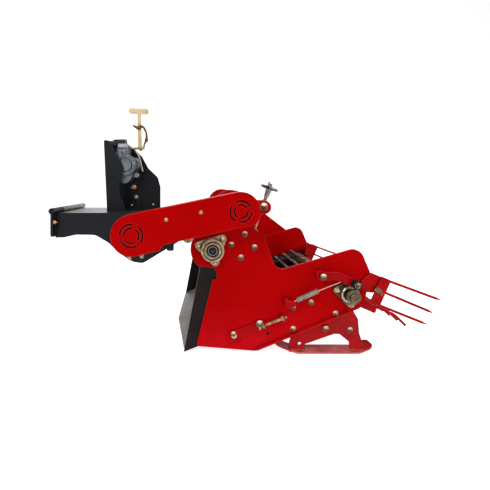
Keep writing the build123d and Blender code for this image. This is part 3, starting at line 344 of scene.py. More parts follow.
# The red turns lighter and pinker low down, a painted reflection of the floor; its hollows and the plates'
# inside under the web are painted shade.
RED = finish("red_powder_coat", ((0.48, 0.0006, 0.0010), (0.56, 0.0008, 0.0014)),
    (0.82, 0.14, 0.13), 0.34, specular=0.02, edge_amount=0.85, edge_width=0.0018,
    scratch=(0.64, 0.03, 0.03), scratches=0.10, dust_and_sheen=1.2, patch=5.0, dust_and_sheen_colour=(0.72, 0.006, 0.012),
    hollow_shade=0.6, reach=0.014, hollow_shade_colour=(0.10, 0.0, 0.0), dust_and_sheen_height=0.15, under_web_shade=0.93,
    under_web_shade_colour=(0.010, 0.002, 0.002))
# The brackets' red is painted lighter low down as a floor reflection, and darker in its hollows as painted
# shade.
RED_DARK = finish("red_coat_on_brackets", BRACKET_TONES, (0.80, 0.12, 0.12), 0.32, specular=0.06,
    edge_amount=0.95, edge_width=0.0015, scratch=(0.7, 0.05, 0.06), scratches=0.25, dust_and_sheen=0.2,
    patch=16.0, dust_and_sheen_colour=(0.55, 0.03, 0.035), hollow_shade=0.85, reach=0.012,
    hollow_shade_colour=(0.07, 0.0, 0.002))
# Near the ground the skids' red turns lighter and pinker, a painted reflection of the floor.
RED_SKID = finish("red_coat_near_ground", BRACKET_TONES, (0.80, 0.16, 0.16), 0.32, specular=0.12,
    edge_amount=0.95, edge_width=0.0016, scratch=(0.7, 0.12, 0.12), scratches=0.35, dust_and_sheen=1.2,
    patch=16.0, dust_and_sheen_colour=(0.86, 0.24, 0.22), dust_and_sheen_height=0.014)
# Both blacks take painted shade in their hollows.
BLACK_COAT = {
    "tones": ((0.0052, 0.0066, 0.0090), (0.0098, 0.0118, 0.0150)), "edge": (0.13, 0.14, 0.15),
    "edge_amount": 0.55, "edge_width": 0.0016, "dust_and_sheen": 0.1, "relief": 0.08, "patch": 6.0,
    "dust_and_sheen_colour": GREY_DUST, "hollow_shade": 0.8, "hollow_shade_colour": (0.0012, 0.0012, 0.0013),
}
BLACK = finish("satin_black_coat", gloss=0.46, specular=0.15, reach=0.08, **BLACK_COAT)
DECK = finish("gloss_black_deck", gloss=0.28, specular=0.55, scratches=0.5, reach=0.05, **BLACK_COAT)
print("materials after the paints", len(bpy.data.materials))

# %% [markdown]
# ## Plating
# Bearings and fasteners are yellow-passivated zinc that has gone olive, and cream where it is new.
# The shaded copy is darker as painted shade, and bolt heads get painted shade and a painted glint.
# A few nuts are coppered, and the handwheel is nickel.

# %% Mix the platings
ZINC = finish("olive_zinc_plate", ((0.17, 0.115, 0.045), (0.44, 0.33, 0.17)),
    (0.98, 0.86, 0.62), 0.30, metallic=0.45, edge_amount=0.9, edge_width=0.0013,
    scratch=(0.62, 0.54, 0.38), dust_and_sheen=0.05, grain=700.0, relief=0.12, patch=70.0, hollow_shade=0.95,
    reach=0.009)
# A darker copy of the olive zinc, painted shade for parts set back from the light.
ZINC_DARK = finish("shaded_zinc_plate", ((0.046, 0.036, 0.012), (0.165, 0.120, 0.050)),
    (0.95, 0.80, 0.56), 0.28, metallic=0.22, specular=0.4, edge_amount=0.7, edge_width=0.0008,
    scratch=(0.4, 0.35, 0.25), dust_and_sheen=0.05, grain=700.0, relief=0.12, hollow_shade=0.95, reach=0.007)
ZINC_BRIGHT = finish("bright_zinc_plate", ((0.36, 0.31, 0.22), (0.66, 0.60, 0.47)),
    (0.98, 0.93, 0.82), 0.28, metallic=0.5, edge_amount=0.8, scratch=(0.8, 0.78, 0.72), dust_and_sheen=0.05,
    grain=700.0, relief=0.1, patch=70.0, hollow_shade=0.9, reach=0.006)
# Cream is the flange's passivation, and its rings also serve as painted highlights on the bearings.
CREAM = finish("cream_flange_and_painted_highlight", ((0.26, 0.18, 0.085), (0.58, 0.44, 0.26)),
    (0.98, 0.86, 0.66), 0.36, metallic=0.15, specular=0.4, edge_amount=0.7, scratch=(0.62, 0.54, 0.38),
    dust_and_sheen=0.05, patch=70.0, hollow_shade=1.0, reach=0.006)
# Bolt heads are dark against a paler flange as painted shade, and their upward faces take a pale painted
# highlight.
BOLT_HEAD = finish("dark_bolt_head_painted_shade", ((0.028, 0.018, 0.005), (0.105, 0.066, 0.018)),
    (0.75, 0.58, 0.36), 0.30, metallic=0.35, edge_amount=0.30, edge_width=0.0007,
    scratch=(0.5, 0.38, 0.2), patch=90.0, hollow_shade=0.9, reach=0.005, top_glint=0.85,
    top_glint_colour=(0.95, 0.72, 0.50))
# The flange's upward side is painted pale, a painted highlight like light on its top.
BOLT_FLANGE = finish("plated_bolt_flange", ((0.085, 0.050, 0.020), (0.23, 0.145, 0.065)),
    (0.95, 0.78, 0.56), 0.32, metallic=0.2, edge_amount=0.22, edge_width=0.0008,
    scratch=(0.62, 0.5, 0.3), patch=90.0, hollow_shade=0.9, reach=0.004, top_glint=1.0,
    top_glint_colour=(1.0, 0.80, 0.62))
COPPER = finish("copper_plated_nut", ((0.42, 0.13, 0.05), (0.66, 0.26, 0.11)),
    (0.95, 0.62, 0.40), 0.28, metallic=0.8, edge_amount=0.7, scratch=(0.8, 0.5, 0.3), patch=90.0)
BRASS = finish("yellow_plated_handle", ((0.46, 0.33, 0.16), (0.64, 0.49, 0.29)),
    (0.88, 0.76, 0.56), 0.38, metallic=0.35, specular=0.4, edge_width=0.0012, scratch=(0.8, 0.66, 0.4),
    scratches=0.25, dust_and_sheen=0.02, patch=22.0)
NICKEL = finish("dark_nickel", ((0.09, 0.078, 0.082), (0.30, 0.27, 0.28)), (0.85, 0.84, 0.85),
    0.16, metallic=1.0, edge_width=0.0009, scratch=(0.85, 0.85, 0.86), scratches=0.2, dust_and_sheen=0.03,
    relief=0.03, patch=30.0, rough_vary=0.06)
print("materials after the platings", len(bpy.data.materials))

# %% [markdown]
# ## Bare metal
# The web rods are drawn steel, darkened as painted shade; the share is ground at its edge, and its
# grey is a painted reflection on its face; the knives are oiled black, tinted red as a painted
# reflection of the red plates. The gearbox is a sand casting with a few machined pads, paler than its skin.

# %% Mix the bare metals
# The black is tinted red, a painted reflection of the red plates nearby.
KNIFE = finish("black_oiled_steel", ((0.0060, 0.0034, 0.0034), (0.0140, 0.0068, 0.0068)),
    (0.26, 0.22, 0.21), 0.42, specular=0.11, edge_amount=0.6, edge_width=0.0015,
    scratch=(0.12, 0.12, 0.12), scratches=0.4, dust_and_sheen=0.15, patch=9.0, dust_and_sheen_colour=GREY_DUST)
# The share's grey stands in for the light on its dark face, a painted reflection; its edge is ground.
SHARE = finish("share_steel_painted_reflection", ((0.12, 0.115, 0.105), (0.25, 0.235, 0.215)),
    (0.55, 0.53, 0.50), 0.42, metallic=0.35, edge_amount=0.9, edge_width=0.003,
    scratch=(0.5, 0.48, 0.46), scratches=0.8, dust_and_sheen=0.1, grain=250.0, relief=0.2, patch=12.0)
SPRING = finish("spring_steel", ((0.26, 0.220, 0.180), (0.40, 0.345, 0.290)),
    (0.85, 0.78, 0.70), 0.32, metallic=0.5, edge_width=0.0006, scratch=(0.5, 0.47, 0.44), patch=90.0,
    hollow_shade=0.95, reach=0.004)
# A paler copy of the spring wire for the legs, a painted highlight.
PALE_WIRE = finish("spring_wire_painted_highlight", ((0.74, 0.55, 0.42), (0.92, 0.74, 0.60)),
    (0.98, 0.88, 0.78), 0.30, metallic=0.2, edge_amount=0.3, edge_width=0.0004, scratch=(0.9, 0.8, 0.7),
    scratches=0.2)
# A darker copy of the rod steel, painted shade for the rods of the web.
WEB_ROD = finish("web_rod_in_painted_shade", ((0.13, 0.125, 0.12), (0.34, 0.33, 0.32)),
    (0.8, 0.79, 0.77), 0.28, metallic=0.4, specular=0.6, edge_amount=0.4, scratch=(0.6, 0.58, 0.56),
    scratches=0.8, grain=600.0, relief=0.1, patch=40.0, hollow_shade=0.9, reach=0.006)
ROD = finish("drawn_rod_steel", ((0.42, 0.40, 0.39), (0.74, 0.72, 0.70)), (0.92, 0.91, 0.90),
    0.34, metallic=0.55, edge_amount=0.4, scratch=(0.75, 0.74, 0.72), scratches=0.5, dust_and_sheen=0.1,
    grain=600.0, relief=0.1, patch=26.0)
WORN = finish("worn_bare_bar", ((0.10, 0.085, 0.070), (0.30, 0.27, 0.24)), (0.55, 0.52, 0.48),
    0.42, metallic=0.6, edge_amount=0.3, scratch=(0.5, 0.47, 0.42), scratches=0.8, grain=500.0,
    relief=0.2)
MACHINED = finish("machined_aluminium", ((0.30, 0.31, 0.35), (0.46, 0.47, 0.53)),
    (0.85, 0.86, 0.92), 0.36, metallic=0.4, edge_amount=0.6, scratch=(0.7, 0.71, 0.75), scratches=0.4,
    hollow_shade=0.9, reach=0.008)
CAST = finish("sand_cast_aluminium", ((0.085, 0.097, 0.115), (0.185, 0.205, 0.235)),
    (0.74, 0.77, 0.84), 0.46, metallic=0.35, edge_amount=0.75, edge_width=0.0016,
    scratch=(0.4, 0.42, 0.44), scratches=0.15, dust_and_sheen=0.05, grain=520.0, relief=0.5, pits=0.5, patch=26.0,
    bump=0.5, hollow_shade=1.0, reach=0.013)
TINTED = finish("heat_tinted_weld", ((0.10, 0.045, 0.02), (0.34, 0.16, 0.07)),
    (0.6, 0.4, 0.25), 0.45, metallic=0.4, specular=0.4, edge_amount=0.3, edge_width=0.0008,
    scratch=(0.5, 0.3, 0.2), scratches=0.2, grain=800.0, relief=0.3, patch=180.0)
print("materials after the metals", len(bpy.data.materials))

# %% [markdown]
# ## Rubber, strap and grease
# The belts are rubber, the keeper is a tarred strap, and seals are nearly black, as is the painted shade
# behind the case's slots.

# %% Mix the soft and dark ones
RUBBER = finish("black_rubber", ((0.010, 0.010, 0.011), (0.020, 0.020, 0.020)),
    (0.05, 0.05, 0.05), 0.68, specular=0.3, edge_width=0.0012, scratch=(0.05, 0.05, 0.05), dust_and_sheen=0.25,
    grain=600.0, relief=0.3, patch=30.0, dust_and_sheen_colour=(0.09, 0.08, 0.07))
STRAP = finish("tarred_strap", ((0.045, 0.026, 0.016), (0.20, 0.12, 0.065)),
    (0.32, 0.22, 0.14), 0.62, specular=0.3, edge_amount=0.2, scratch=(0.3, 0.2, 0.12), scratches=0.5,
    grain=900.0, relief=0.5, patch=160.0, bump=0.5)
GREASE = finish("greased_seal", ((0.0035, 0.0038, 0.0040), (0.010, 0.011, 0.012)),
    (0.06, 0.065, 0.065), 0.34, specular=0.12, edge_amount=0.4, scratch=(0.05, 0.055, 0.055))
# Near-black for the painted shade behind the case's slots.
SLOT_SHADE = finish("painted_slot_shade", ((0.0018, 0.0016, 0.0016), (0.0040, 0.0034, 0.0034)),
    (0.01, 0.01, 0.01), 0.9, specular=0.02, edge_amount=0.1, edge_width=0.0016,
    scratch=(0.01, 0.01, 0.01), scratches=0.1, patch=120.0)
print("materials in all", len(bpy.data.materials))


# %% [markdown]
# ## Coats for the solids
# Each solid takes one finish, by name, so a solid that the frame adds later stands out at once:
# it has no entry here.

# %% Give each solid its finish
COATED = (
    (RED, "side_plates pivot_ears far_guard_back far_drive_guard chain_case case_back_plate"),
    (RED_DARK, "cross_tube idler_strips tension_tabs rear_wings side_rakes rear_grate follower_post "
               "spring_anchor cross_shaft_sleeve follower_lever"),
    (RED_SKID, "skids"), (DECK, "hitch_deck"), (SHARE, "share_blade"),
    (KNIFE, "side_knives follower_roller"),
    (BLACK, "web_guide_rails hitch_arms hitch_plate gearbox_uprights upright_feet "
            "input_bearing_housing front_shaft_sleeve stop_tab input_coupling"),
    (ZINC, "front_bearings tension_screws screw_nut handle_bracket cross_shaft tensioner_boss "
           "screw_spindle screw_trunnion"),
    (ZINC_DARK, "web_bearings web_drive_shaft shaker_cam"),
    (ZINC_BRIGHT, "return_spring clutch_lever"),
    (ROD, "rod_web web_idler front_shaft"), (CAST, "gearbox_housing gearbox_cover"),
    (BRASS, "selector_handle"), (STRAP, "keeper_strap"), (NICKEL, "handwheel"),
)
COATS = {name: coat for coat, names in COATED for name in names.split()}
for name, node in nodes.items():
    node.data.materials.clear()
    node.data.materials.append(COATS[name])
print("coated", len(nodes), "left out", sorted(set(nodes) ^ set(COATS)))


# %% [markdown]
# ## From a node tree to a plain piece
# Geometry Nodes are good at anything that repeats. The object that carries the modifier stays
# at the origin; once the tree has made its shape, the evaluated result is copied to a plain
# mesh, the modifier goes, and the piece is fixed to the body that moves it.

# %% Bake a tree to a piece and hang it on a body
def add_object(name, data):
    """A new object at the origin of the scene."""
    obj = bpy.data.objects.new(name, data)
    bpy.context.collection.objects.link(obj)
    return obj


def evaluated_mesh(obj):
    """What an object looks like after its modifiers, as a plain mesh."""
    graph = bpy.context.evaluated_depsgraph_get()
    return bpy.data.meshes.new_from_object(obj.evaluated_get(graph))


def carrier(name, vertices, edges=(), attributes=None):
    """A mesh of points or lines at the origin for a tree to work on."""
    mesh = bpy.data.meshes.new(name)
    mesh.from_pydata([tuple(v) for v in vertices], [tuple(e) for e in edges], [])
    for title, (kind, field, rows) in (attributes or {}).items():
        layer = mesh.attributes.new(title, kind, "POINT")
        for index, row in enumerate(rows):
            setattr(layer.data[index], field, row)
    return add_object(name, mesh)


def grow(obj, tree, body, **values):
    """Run a tree on an object, keep the result as a plain mesh, and ride it on a body."""
    modifier = obj.modifiers.new("shape", "NODES")
    modifier.node_group = tree.tree
    for item in tree.tree.interface.items_tree:
        if item.item_type == "SOCKET" and item.in_out == "INPUT" and item.name in values:
            modifier[item.identifier] = values[item.name]
    mesh = evaluated_mesh(obj)
    obj.modifiers.clear()
    obj.data = mesh
    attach(obj, body)
    print(obj.name, "faces", len(mesh.polygons))
    return obj


def swept(tree, line, radius, sides):
    """A round wire along a curve, closed at its ends."""
    rim = tree.take("CurvePrimitiveCircle", {"Resolution": sides, "Radius": radius})
    return tree.take("CurveToMesh", {"Curve": line, "Profile Curve": rim, "Fill Caps": True})


def painted(tree, shape, material):
    """A shape with its material set."""
    return tree.take("SetMaterial", {"Geometry": shape, "Material": material})


def hand_out(tree, shape, material, smooth=False):
    """Realize a shape, smooth it if asked, paint it, and make it the tree's result."""
    shape = tree.take("RealizeInstances", {0: shape})
    if smooth:
        shape = tree.take("SetShadeSmooth", {0: shape})
    tree.give(Geometry=painted(tree, shape, material))


# %% [markdown]
# ## Hexagon bolts
# A bolt shows as a sloping flange, a six-sided head with its corners turned down, and sometimes a
# few turns of thread. More than eighty of them sit on the machine, so one tree builds the bolt
# from cylinders and cones and puts it on every seat, turned to face out of the plate and spun by
# chance, as a spanner leaves it.

# %% Tree: hexagon bolts
CORNERS = 0.577  # a hexagon's corner radius over its width across flats


def hex_bolt_tree(name, studs):
    tree, given = new_group(
        name, "GeometryNodeTree",
        [("Geometry", SHAPE, None), ("Across", FLOAT, 0.0112), ("Head", FLOAT, 0.0085),
         ("Washer", FLOAT, 0.0108), ("Material", MATERIAL, None),
         ("Washer Material", MATERIAL, None), ("Seed", WHOLE, 3)],
        [("Geometry", SHAPE)],
    )

    def head(share):
        return tree.times(given["Head"], share)

    def lifted(shape, height):
        offset = tree.take("ShaderNodeCombineXYZ", {"Z": height})
        return tree.take("Transform", {"Geometry": shape, "Translation": offset})

    radius = tree.times(given["Across"], CORNERS)
    flange = tree.take("MeshCone", {
        "Vertices": 24, "Radius Bottom": given["Washer"], "Radius Top": tree.times(given["Washer"], 0.64),
        "Depth": head(0.46)})
    prism = tree.take("MeshCylinder", {"Vertices": 6, "Radius": radius, "Depth": head(0.7)})
    crown = tree.take("MeshCone", {
        "Vertices": 6, "Radius Top": tree.times(radius, 0.68), "Radius Bottom": radius, "Depth": head(0.3)})
    parts = [lifted(prism, head(0.35)), lifted(crown, head(0.7))]
    if studs:
        stud = tree.take("MeshCylinder", {
            "Vertices": 12, "Radius": tree.times(radius, 0.50), "Depth": head(0.9)})
        parts.append(lifted(stud, head(1.1)))
    hexagon = painted(tree, tree.take("JoinGeometry", {0: parts}), given["Material"])
    washer = painted(tree, flange, given["Washer Material"])
    bolt = tree.take("JoinGeometry", {0: [hexagon, washer]})
    facing = tree.take("InputNamedAttribute", {"Name": "out"}, data_type="FLOAT_VECTOR")
    size = tree.take("InputNamedAttribute", {"Name": "size"}, data_type="FLOAT")
    align = tree.take("FunctionNodeAlignRotationToVector", {"Vector": facing}, axis="Z")
    spin = tree.take("FunctionNodeRandomValue", {3: 6.28, "Seed": given["Seed"]}, 1, data_type="FLOAT")
    turn = tree.take("FunctionNodeEulerToRotation", {0: tree.take("ShaderNodeCombineXYZ", {"Z": spin})})
    local = tree.take("FunctionNodeRotateRotation", {0: align, 1: turn}, rotation_space="LOCAL")
    placed = tree.take("InstanceOnPoints", {
        "Points": given["Geometry"], "Instance": bolt, "Rotation": local, "Scale": size})
    tree.give(Geometry=tree.take("RealizeInstances", {0: placed}))
    return tree


BOLT_HEADS = hex_bolt_tree("hex_bolt_heads", studs=False)
BOLT_NUTS = hex_bolt_tree("hex_nuts_on_studs", studs=True)
fastened = []


def bolts(name, tree, body, rows, material, washer=None, flange=0.0108):
    """Bolts from rows of (place, direction out of the seat, size)."""
    places, directions, sizes = zip(*rows)
    fastened.extend(places)
    obj = carrier(name, places, attributes={
        "out": ("FLOAT_VECTOR", "vector", directions), "size": ("FLOAT", "value", sizes)})
    return grow(obj, tree, body, Washer=flange, Material=material, **{"Washer Material": washer or ZINC})


def mirrored(x, y, z, size):
    """The same bolt on both sides of the row, facing out."""
    return [(at(x, side * y, z), (0, side, 0), size) for side in SIDES]


print("bolt nodes", len(BOLT_HEADS.tree.nodes), "with stud", len(BOLT_NUTS.tree.nodes))


# %% [markdown]
# ## Bolts on the side plates
# Both side plates carry the same pattern, since the machine is symmetric below the hitch: four
# for the cross tube's flange, the rows along the lower edge that hold the skid and the web's
# rails, and the idler strip's clamp. Rows of plain numbers say where, in millimetres from the
# front shaft, and a loop mirrors them to the far plate, except where the drive guard covers it.

# %% Side plate bolts
PLAIN_FLANGE = 0.0096
# columns: x, z, height of the seat off the plate, size
PLATE_BOLTS = [
    (100, 365, 0, 1.0), (59, 333, 0, 1.0), (129.5, 324.5, 0, 1.0), (88, 293.5, 0, 1.0),
    (248, 140, 0, 0.95), (302.5, 157, 0, 0.95), (247.5, 76, 0, 0.95), (347.5, 77, 0, 0.95),
    (377, 123, 0, 0.95), (64.3, 63, 5, 0.85),
]
rows = []
for x, z, lift, size in PLATE_BOLTS:
    near, far = mirrored(x, PLATE_Y + lift, z, size)
    rows += [near] if x > 300 or z > 320 else [near, far]
bolts("plate_bolts", BOLT_HEADS, "digger_frame", rows, BOLT_HEAD, BOLT_FLANGE, PLAIN_FLANGE)

# %% [markdown]
# ## Skid, pivot and strip bolts
# One bolt holds each skid's rear bracket, with a painted stud above it. The pivot ears carry the
# largest bolts of all, because the whole hitch swings on them. The post's face comes from the
# solids' own box, so the lever's bolt sits on its post.

# %% Skid and knife bolts
bolts("skid_bolts", BOLT_HEADS, "digger_frame", mirrored(424.5, 234, 70.5, 0.85), BOLT_HEAD, BOLT_FLANGE,
      PLAIN_FLANGE)
bolts("skid_studs", BOLT_HEADS, "digger_frame", mirrored(421, 230.5, 93, 0.5), RED_DARK, RED_DARK)

# %% Bolts of the ears, the follower and the idler strips
post_low = (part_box("follower_post")[0][1] - ROW_Y) * 1000
print("post face", round(post_low, 1))
rows = mirrored(181, 155.2, 442.5, 1.35) + [(at(324, post_low - 1.2, 245.3), (0, -1, 0), 0.95)]
rows += mirrored(144.3, 246.2, 94.2, 1.1)
bolts("pivot_and_strip_bolts", BOLT_HEADS, "digger_frame", rows, BOLT_HEAD, BOLT_FLANGE, 0.0102)

# %% [markdown]
# ## Bolts of the hitch
# The chain case is closed by small bright screws, the far upright shows the gearbox's mounting
# bolts and one coppered nut, and two more coppered nuts hold the hitch plate from behind.

# %% Bolts of the hitch, the stand and the case
CASE_Y, UPRIGHT_Y, FOOT_Y = -325.6, 48, -128
# columns: x, y, z, size; all face the near side
BRIGHT_BOLTS = [
    (-133.8, CASE_Y, 419.5, 0.5), (-37.7, CASE_Y, 439.7, 0.5), (-282.8, UPRIGHT_Y, 467.6, 0.8),
    (-299.8, 43, 435.6, 0.45), (-214, UPRIGHT_Y, 437.5, 0.42),
    (-274.8, FOOT_Y, 264.9, 0.75), (-232.1, FOOT_Y, 270.4, 0.75),
]
bolts("hitch_bright_bolts", BOLT_HEADS, "hitch_frame",
      [(at(x, y, z), (0, -1, 0), size) for x, y, z, size in BRIGHT_BOLTS], ZINC_BRIGHT, ZINC)
rows = [(at(-292.9, UPRIGHT_Y, 507.1), (0, -1, 0), 0.95)]
rows += [(at(-528.4, side * 137, 389), (1, 0, 0), 0.8) for side in SIDES]
bolts("hitch_copper_nuts", BOLT_NUTS, "hitch_frame", rows, COPPER, COPPER)
rows = [(at(-262, 0, 660.6), (0, 0, 1), 0.9), (at(-256, 0, 654.4), (0, 0, -1), 0.8)]
bolts("handle_foot_nuts", BOLT_HEADS, "hitch_frame", rows, BRASS, COPPER)
COVER_CIRCLE = 33.2
rows = []
for step in range(6):
    angle = math.radians(60 * step + 15)
    spot = at(-307 + COVER_CIRCLE * math.cos(angle), -41.3, 591 + COVER_CIRCLE * math.sin(angle))
    rows.append((spot, (0, -1, 0), 0.34))
bolts("gearbox_screws", BOLT_HEADS, "hitch_frame", rows, MACHINED, CAST)


# %% [markdown]
# ## Bearing flanges
# A flange bearing is held by three bolts on its ears, and its insert shows rings inside rings:
# the housing's lip, the outer race, a pressed shield, the inner race, and the shaft's end with
# its centre hole. A turned part like that is one profile spun about the shaft, so each bearing
# gets a lathe ring drawn as a list of radius and height.

# %% A lathe for turned faces
LATHE_STEPS = 48


def piece(name, bm, body, material, smooth=35):
    """A finished piece from mesh code, at the origin, riding on a body."""
    mesh = bpy.data.meshes.new(name)
    bmesh.ops.recalc_face_normals(bm, faces=bm.faces)
    bm.to_mesh(mesh)
    bm.free()
    obj = add_object(name, mesh)
    mesh.materials.append(material)
    if smooth:
        mesh.shade_smooth()
        bpy.context.view_layer.objects.active = obj
        obj.select_set(True)
        bpy.ops.object.shade_smooth_by_angle(angle=math.radians(smooth))
        obj.select_set(False)
        for modifier in list(obj.modifiers):
            obj.modifiers.remove(modifier)
    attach(obj, body)
    return obj


def lathe(name, body, centre, axis, profile, material):
    """A closed turned shape: rows of (radius, height along the axis) in millimetres."""
    bm = bmesh.new()
    axis = Vector(axis).normalized()
    side = axis.orthogonal().normalized()
    other = axis.cross(side)
    rings = []
    for radius, height in profile:
        middle = Vector(centre) + axis * height * 0.001
        if radius <= 0:
            rings.append([bm.verts.new(middle)])
            continue
        ring = []
        for step in range(LATHE_STEPS):
            angle = 2 * math.pi * step / LATHE_STEPS
            spoke = side * math.cos(angle) + other * math.sin(angle)
            ring.append(bm.verts.new(Vector(centre) + spoke * radius * 0.001 + axis * height * 0.001))
        rings.append(ring)
    for low_ring, high_ring in zip(rings, rings[1:]):
        for step in range(LATHE_STEPS):
            after = (step + 1) % LATHE_STEPS
            if len(low_ring) == 1:
                bm.faces.new((low_ring[0], high_ring[after], high_ring[step]))
            elif len(high_ring) == 1:
                bm.faces.new((low_ring[step], low_ring[after], high_ring[0]))
            else:
                bm.faces.new((low_ring[step], low_ring[after], high_ring[after], high_ring[step]))
    return piece(name, bm, body, material)


print("steps round a turned face", LATHE_STEPS)

# %% Bearing inserts and shaft ends
# The cream shoulder and lip rings are also painted highlights on the bearing's rims.
# columns: name, finish, rows of radius and height off the bearing's boss
INSERT_RINGS = [
    ("plug", GREASE, [(0, 1.4), (10.6, 1.4), (11.2, 0.8), (11.2, -0.8), (0, -0.8)]),
    ("nub", ZINC_DARK, [(0, 2.6), (3.0, 2.4), (4.2, 1.4), (4.2, 0.0), (0, 0.0)]),
    ("race", CAST, [(11.4, -0.8), (11.4, 1.8), (12.2, 2.6), (13.6, 2.6), (14.4, 1.8), (14.4, -0.8),
                    (11.4, -0.8)]),
    ("seal", GREASE, [(14.4, -0.8), (14.4, 0.6), (15.4, 1.2), (17.4, 1.2), (18.4, 0.6), (18.4, -0.8),
                      (14.4, -0.8)]),
    ("shoulder", CREAM, [(28.8, -0.8), (29.0, 2.2), (31.0, 3.4), (33.2, 2.6), (34.4, 0.4), (34.4, -0.8),
                         (28.8, -0.8)]),
    ("lip", CREAM, [(18.6, -2.6), (18.6, 1.6), (20.0, 3.4), (22.2, 3.8), (25.4, 2.2), (27.0, -0.6),
                    (27.0, -2.6), (18.6, -2.6)]),
]
FLANGE_THICK, BOSS_HIGH = 8, 13.0
for side, tag in zip(SIDES, ("near", "far")):
    face = at(0, side * (PLATE_Y + FLANGE_THICK + BOSS_HIGH), 319)
    for title, coat, rings in INSERT_RINGS:
        lathe(f"front_bearing_{title}_{tag}", "digger_frame", face, (0, side, 0), rings, coat)
print("rings in a front bearing", len(INSERT_RINGS))

# %% [markdown]
# ## The shaker's turned faces
# The web shaft ends in a nut with a collar. The roller that rides the cam is a small sealed
# bearing on a shoulder bolt, so it gets a dark face, a cream seal ring that is also a painted highlight,
# and the bolt's head.

# %% Web shaft end and roller face
ROLLER = (421.5, 222)
# columns: name, body, x and z, y, finish, rows of radius and height
NEAR_TURNED = [
    ("web_shaft_nut", "digger_frame", WEB_BEARING, -282, ZINC_DARK, [
        (0, 2.4), (2.0, 2.2), (5.0, -0.2), (6.4, -0.2), (7.0, 1.8), (11.0, 1.8), (12.4, 0.4),
        (12.6, -3.5), (14.6, -3.5), (15.2, -3.0), (16.4, -3.0), (16.6, -4.2), (0, -4.2)]),
    ("roller_face", "follower_lever", ROLLER, -280, GREASE, [
        (9.2, -0.3), (9.2, 0.3), (10.6, 0.9), (12.2, 0.9), (12.9, 0.3), (12.9, -0.3), (9.2, -0.3)]),
    ("roller_seal", "follower_lever", ROLLER, -280, CREAM, [
        (7.6, -0.3), (7.6, 1.1), (9.1, 1.1), (9.1, -0.3), (7.6, -0.3)]),
    ("roller_bolt", "follower_lever", ROLLER, -284, BOLT_HEAD, [
        (0, 0.6), (1.6, 0.5), (2.6, 1.6), (5.4, 1.6), (6.8, 0.6), (6.8, -0.5), (0, -0.5)]),
]
for name, body, (x, z), y, coat, rings in NEAR_TURNED:
    lathe(name, body, at(x, y, z), (0, -1, 0), rings, coat)
print("turned faces of the shaker", len(NEAR_TURNED))

# %% [markdown]
# ## Web bearings and drain plugs
# The web's rear shaft runs in a smaller flange bearing, which shows only a lip and a seal. A
# dark plug closes a small hole low in each plate.

# %% Web bearing rings and the drain plug
# columns: name, x, y, z, finish, rows of radius and height
BOTH_TURNED = [
    ("web_bearing_lip", 412, 254, 186, ZINC_BRIGHT, [
        (17.5, -1), (17.5, 1.2), (19, 2.8), (22.5, 3.0), (24.5, 1.0), (24.5, -1), (17.5, -1)]),
    ("web_bearing_seal", 412, 254, 186, GREASE, [
        (12.8, -1), (12.8, 0.6), (17.3, 0.6), (17.3, -1), (12.8, -1)]),
    ("drain_plug", 169, 235.5, 63, GREASE, [
        (0, 1.2), (2.0, 1.2), (3.0, 2.4), (4.9, 2.4), (4.9, -1.5), (0, -1.5)]),
]
for side, tag in zip(SIDES, ("near", "far")):
    for title, x, y, z, coat, rings in BOTH_TURNED:
        lathe(f"{title}_{tag}", "digger_frame", at(x, side * y, z), (0, side, 0), rings, coat)
print("turned faces on each side", len(BOTH_TURNED))

# %% [markdown]
# ## Painted shade behind the slots
# The chain case breathes through two rings of slots. The dark seen through them is painted shade:
# a thin near-black ring stands just behind each set.

# %% Painted shade behind the case's slots
CASE_CENTRES = ((-230.63, 374.69, 37.0), (73.0, 442.0, 34.0))
for tag, (x, z, reach) in zip(("front", "rear"), CASE_CENTRES):
    lathe(f"case_slot_shade_{tag}", "hitch_frame", at(x, -321.6, z), (0, -1, 0), [
        (13, 0), (13, 0.9), (reach, 0.9), (reach, 0), (13, 0)], SLOT_SHADE)
print("slot_shades", len(CASE_CENTRES))

# %% [markdown]
# ## Bearing bolts
# Three studs with nuts hold each flange, a little off even thirds. Only those that nothing
# covers are made: all three at the front, two on the near web bearing, and none on the far web
# bearing, which is behind the drive guard.

# %% Bearing bolts
# columns: bearing, radius of its bolt circle, size; then angle and share of that radius
FLANGE_CIRCLES = ((FRONT_BEARING, 44, 0.9), (WEB_BEARING, 37, 0.8))
EARS = ((161, 1.0), (48, 1.06), (-77, 0.9))
rows = []
for side in SIDES:
    for (x, z), circle, size in FLANGE_CIRCLES:
        for turn, share in EARS:
            if (side > 0 or turn == 48) and x > 300:
                continue
            angle = math.radians(turn)
            reach = circle * share
            spot = at(x + reach * math.cos(angle), side * 249.2, z + reach * math.sin(angle))
            rows.append((spot, (0, side, 0), size))
bolts("bearing_bolts", BOLT_NUTS, "digger_frame", rows, ZINC_BRIGHT, ZINC)


# %% [markdown]
# ## The return spring
# The shaker's return spring is a close-wound coil with a straight leg at one end and a hook at
# the other. The coil is the Spiral primitive swept with a round wire, with its turns packed into
# the length that the solid holds. Winding it in a tree keeps the pitch and the wire as inputs.

# %% Tree: coil spring
winding, given = new_group(
    "coil_spring", "GeometryNodeTree",
    [("Geometry", SHAPE, None), ("Turns", FLOAT, 25.0), ("Radius", FLOAT, 0.006),
     ("Length", FLOAT, 0.07), ("Wire", FLOAT, 0.0018), ("Place", VECTOR, None),
     ("Turn", VECTOR, None), ("Material", MATERIAL, None)],
    [("Geometry", SHAPE)],
)
spiral = winding.take("CurveSpiral", {
    "Resolution": 20, "Rotations": given["Turns"], "Start Radius": given["Radius"],
    "End Radius": given["Radius"], "Height": given["Length"]})
stood = winding.take("Transform", {
    "Geometry": swept(winding, spiral, given["Wire"], 8),
    "Translation": given["Place"], "Rotation": given["Turn"]})
hand_out(winding, stood, given["Material"], smooth=True)
print("coil nodes", len(winding.tree.nodes))

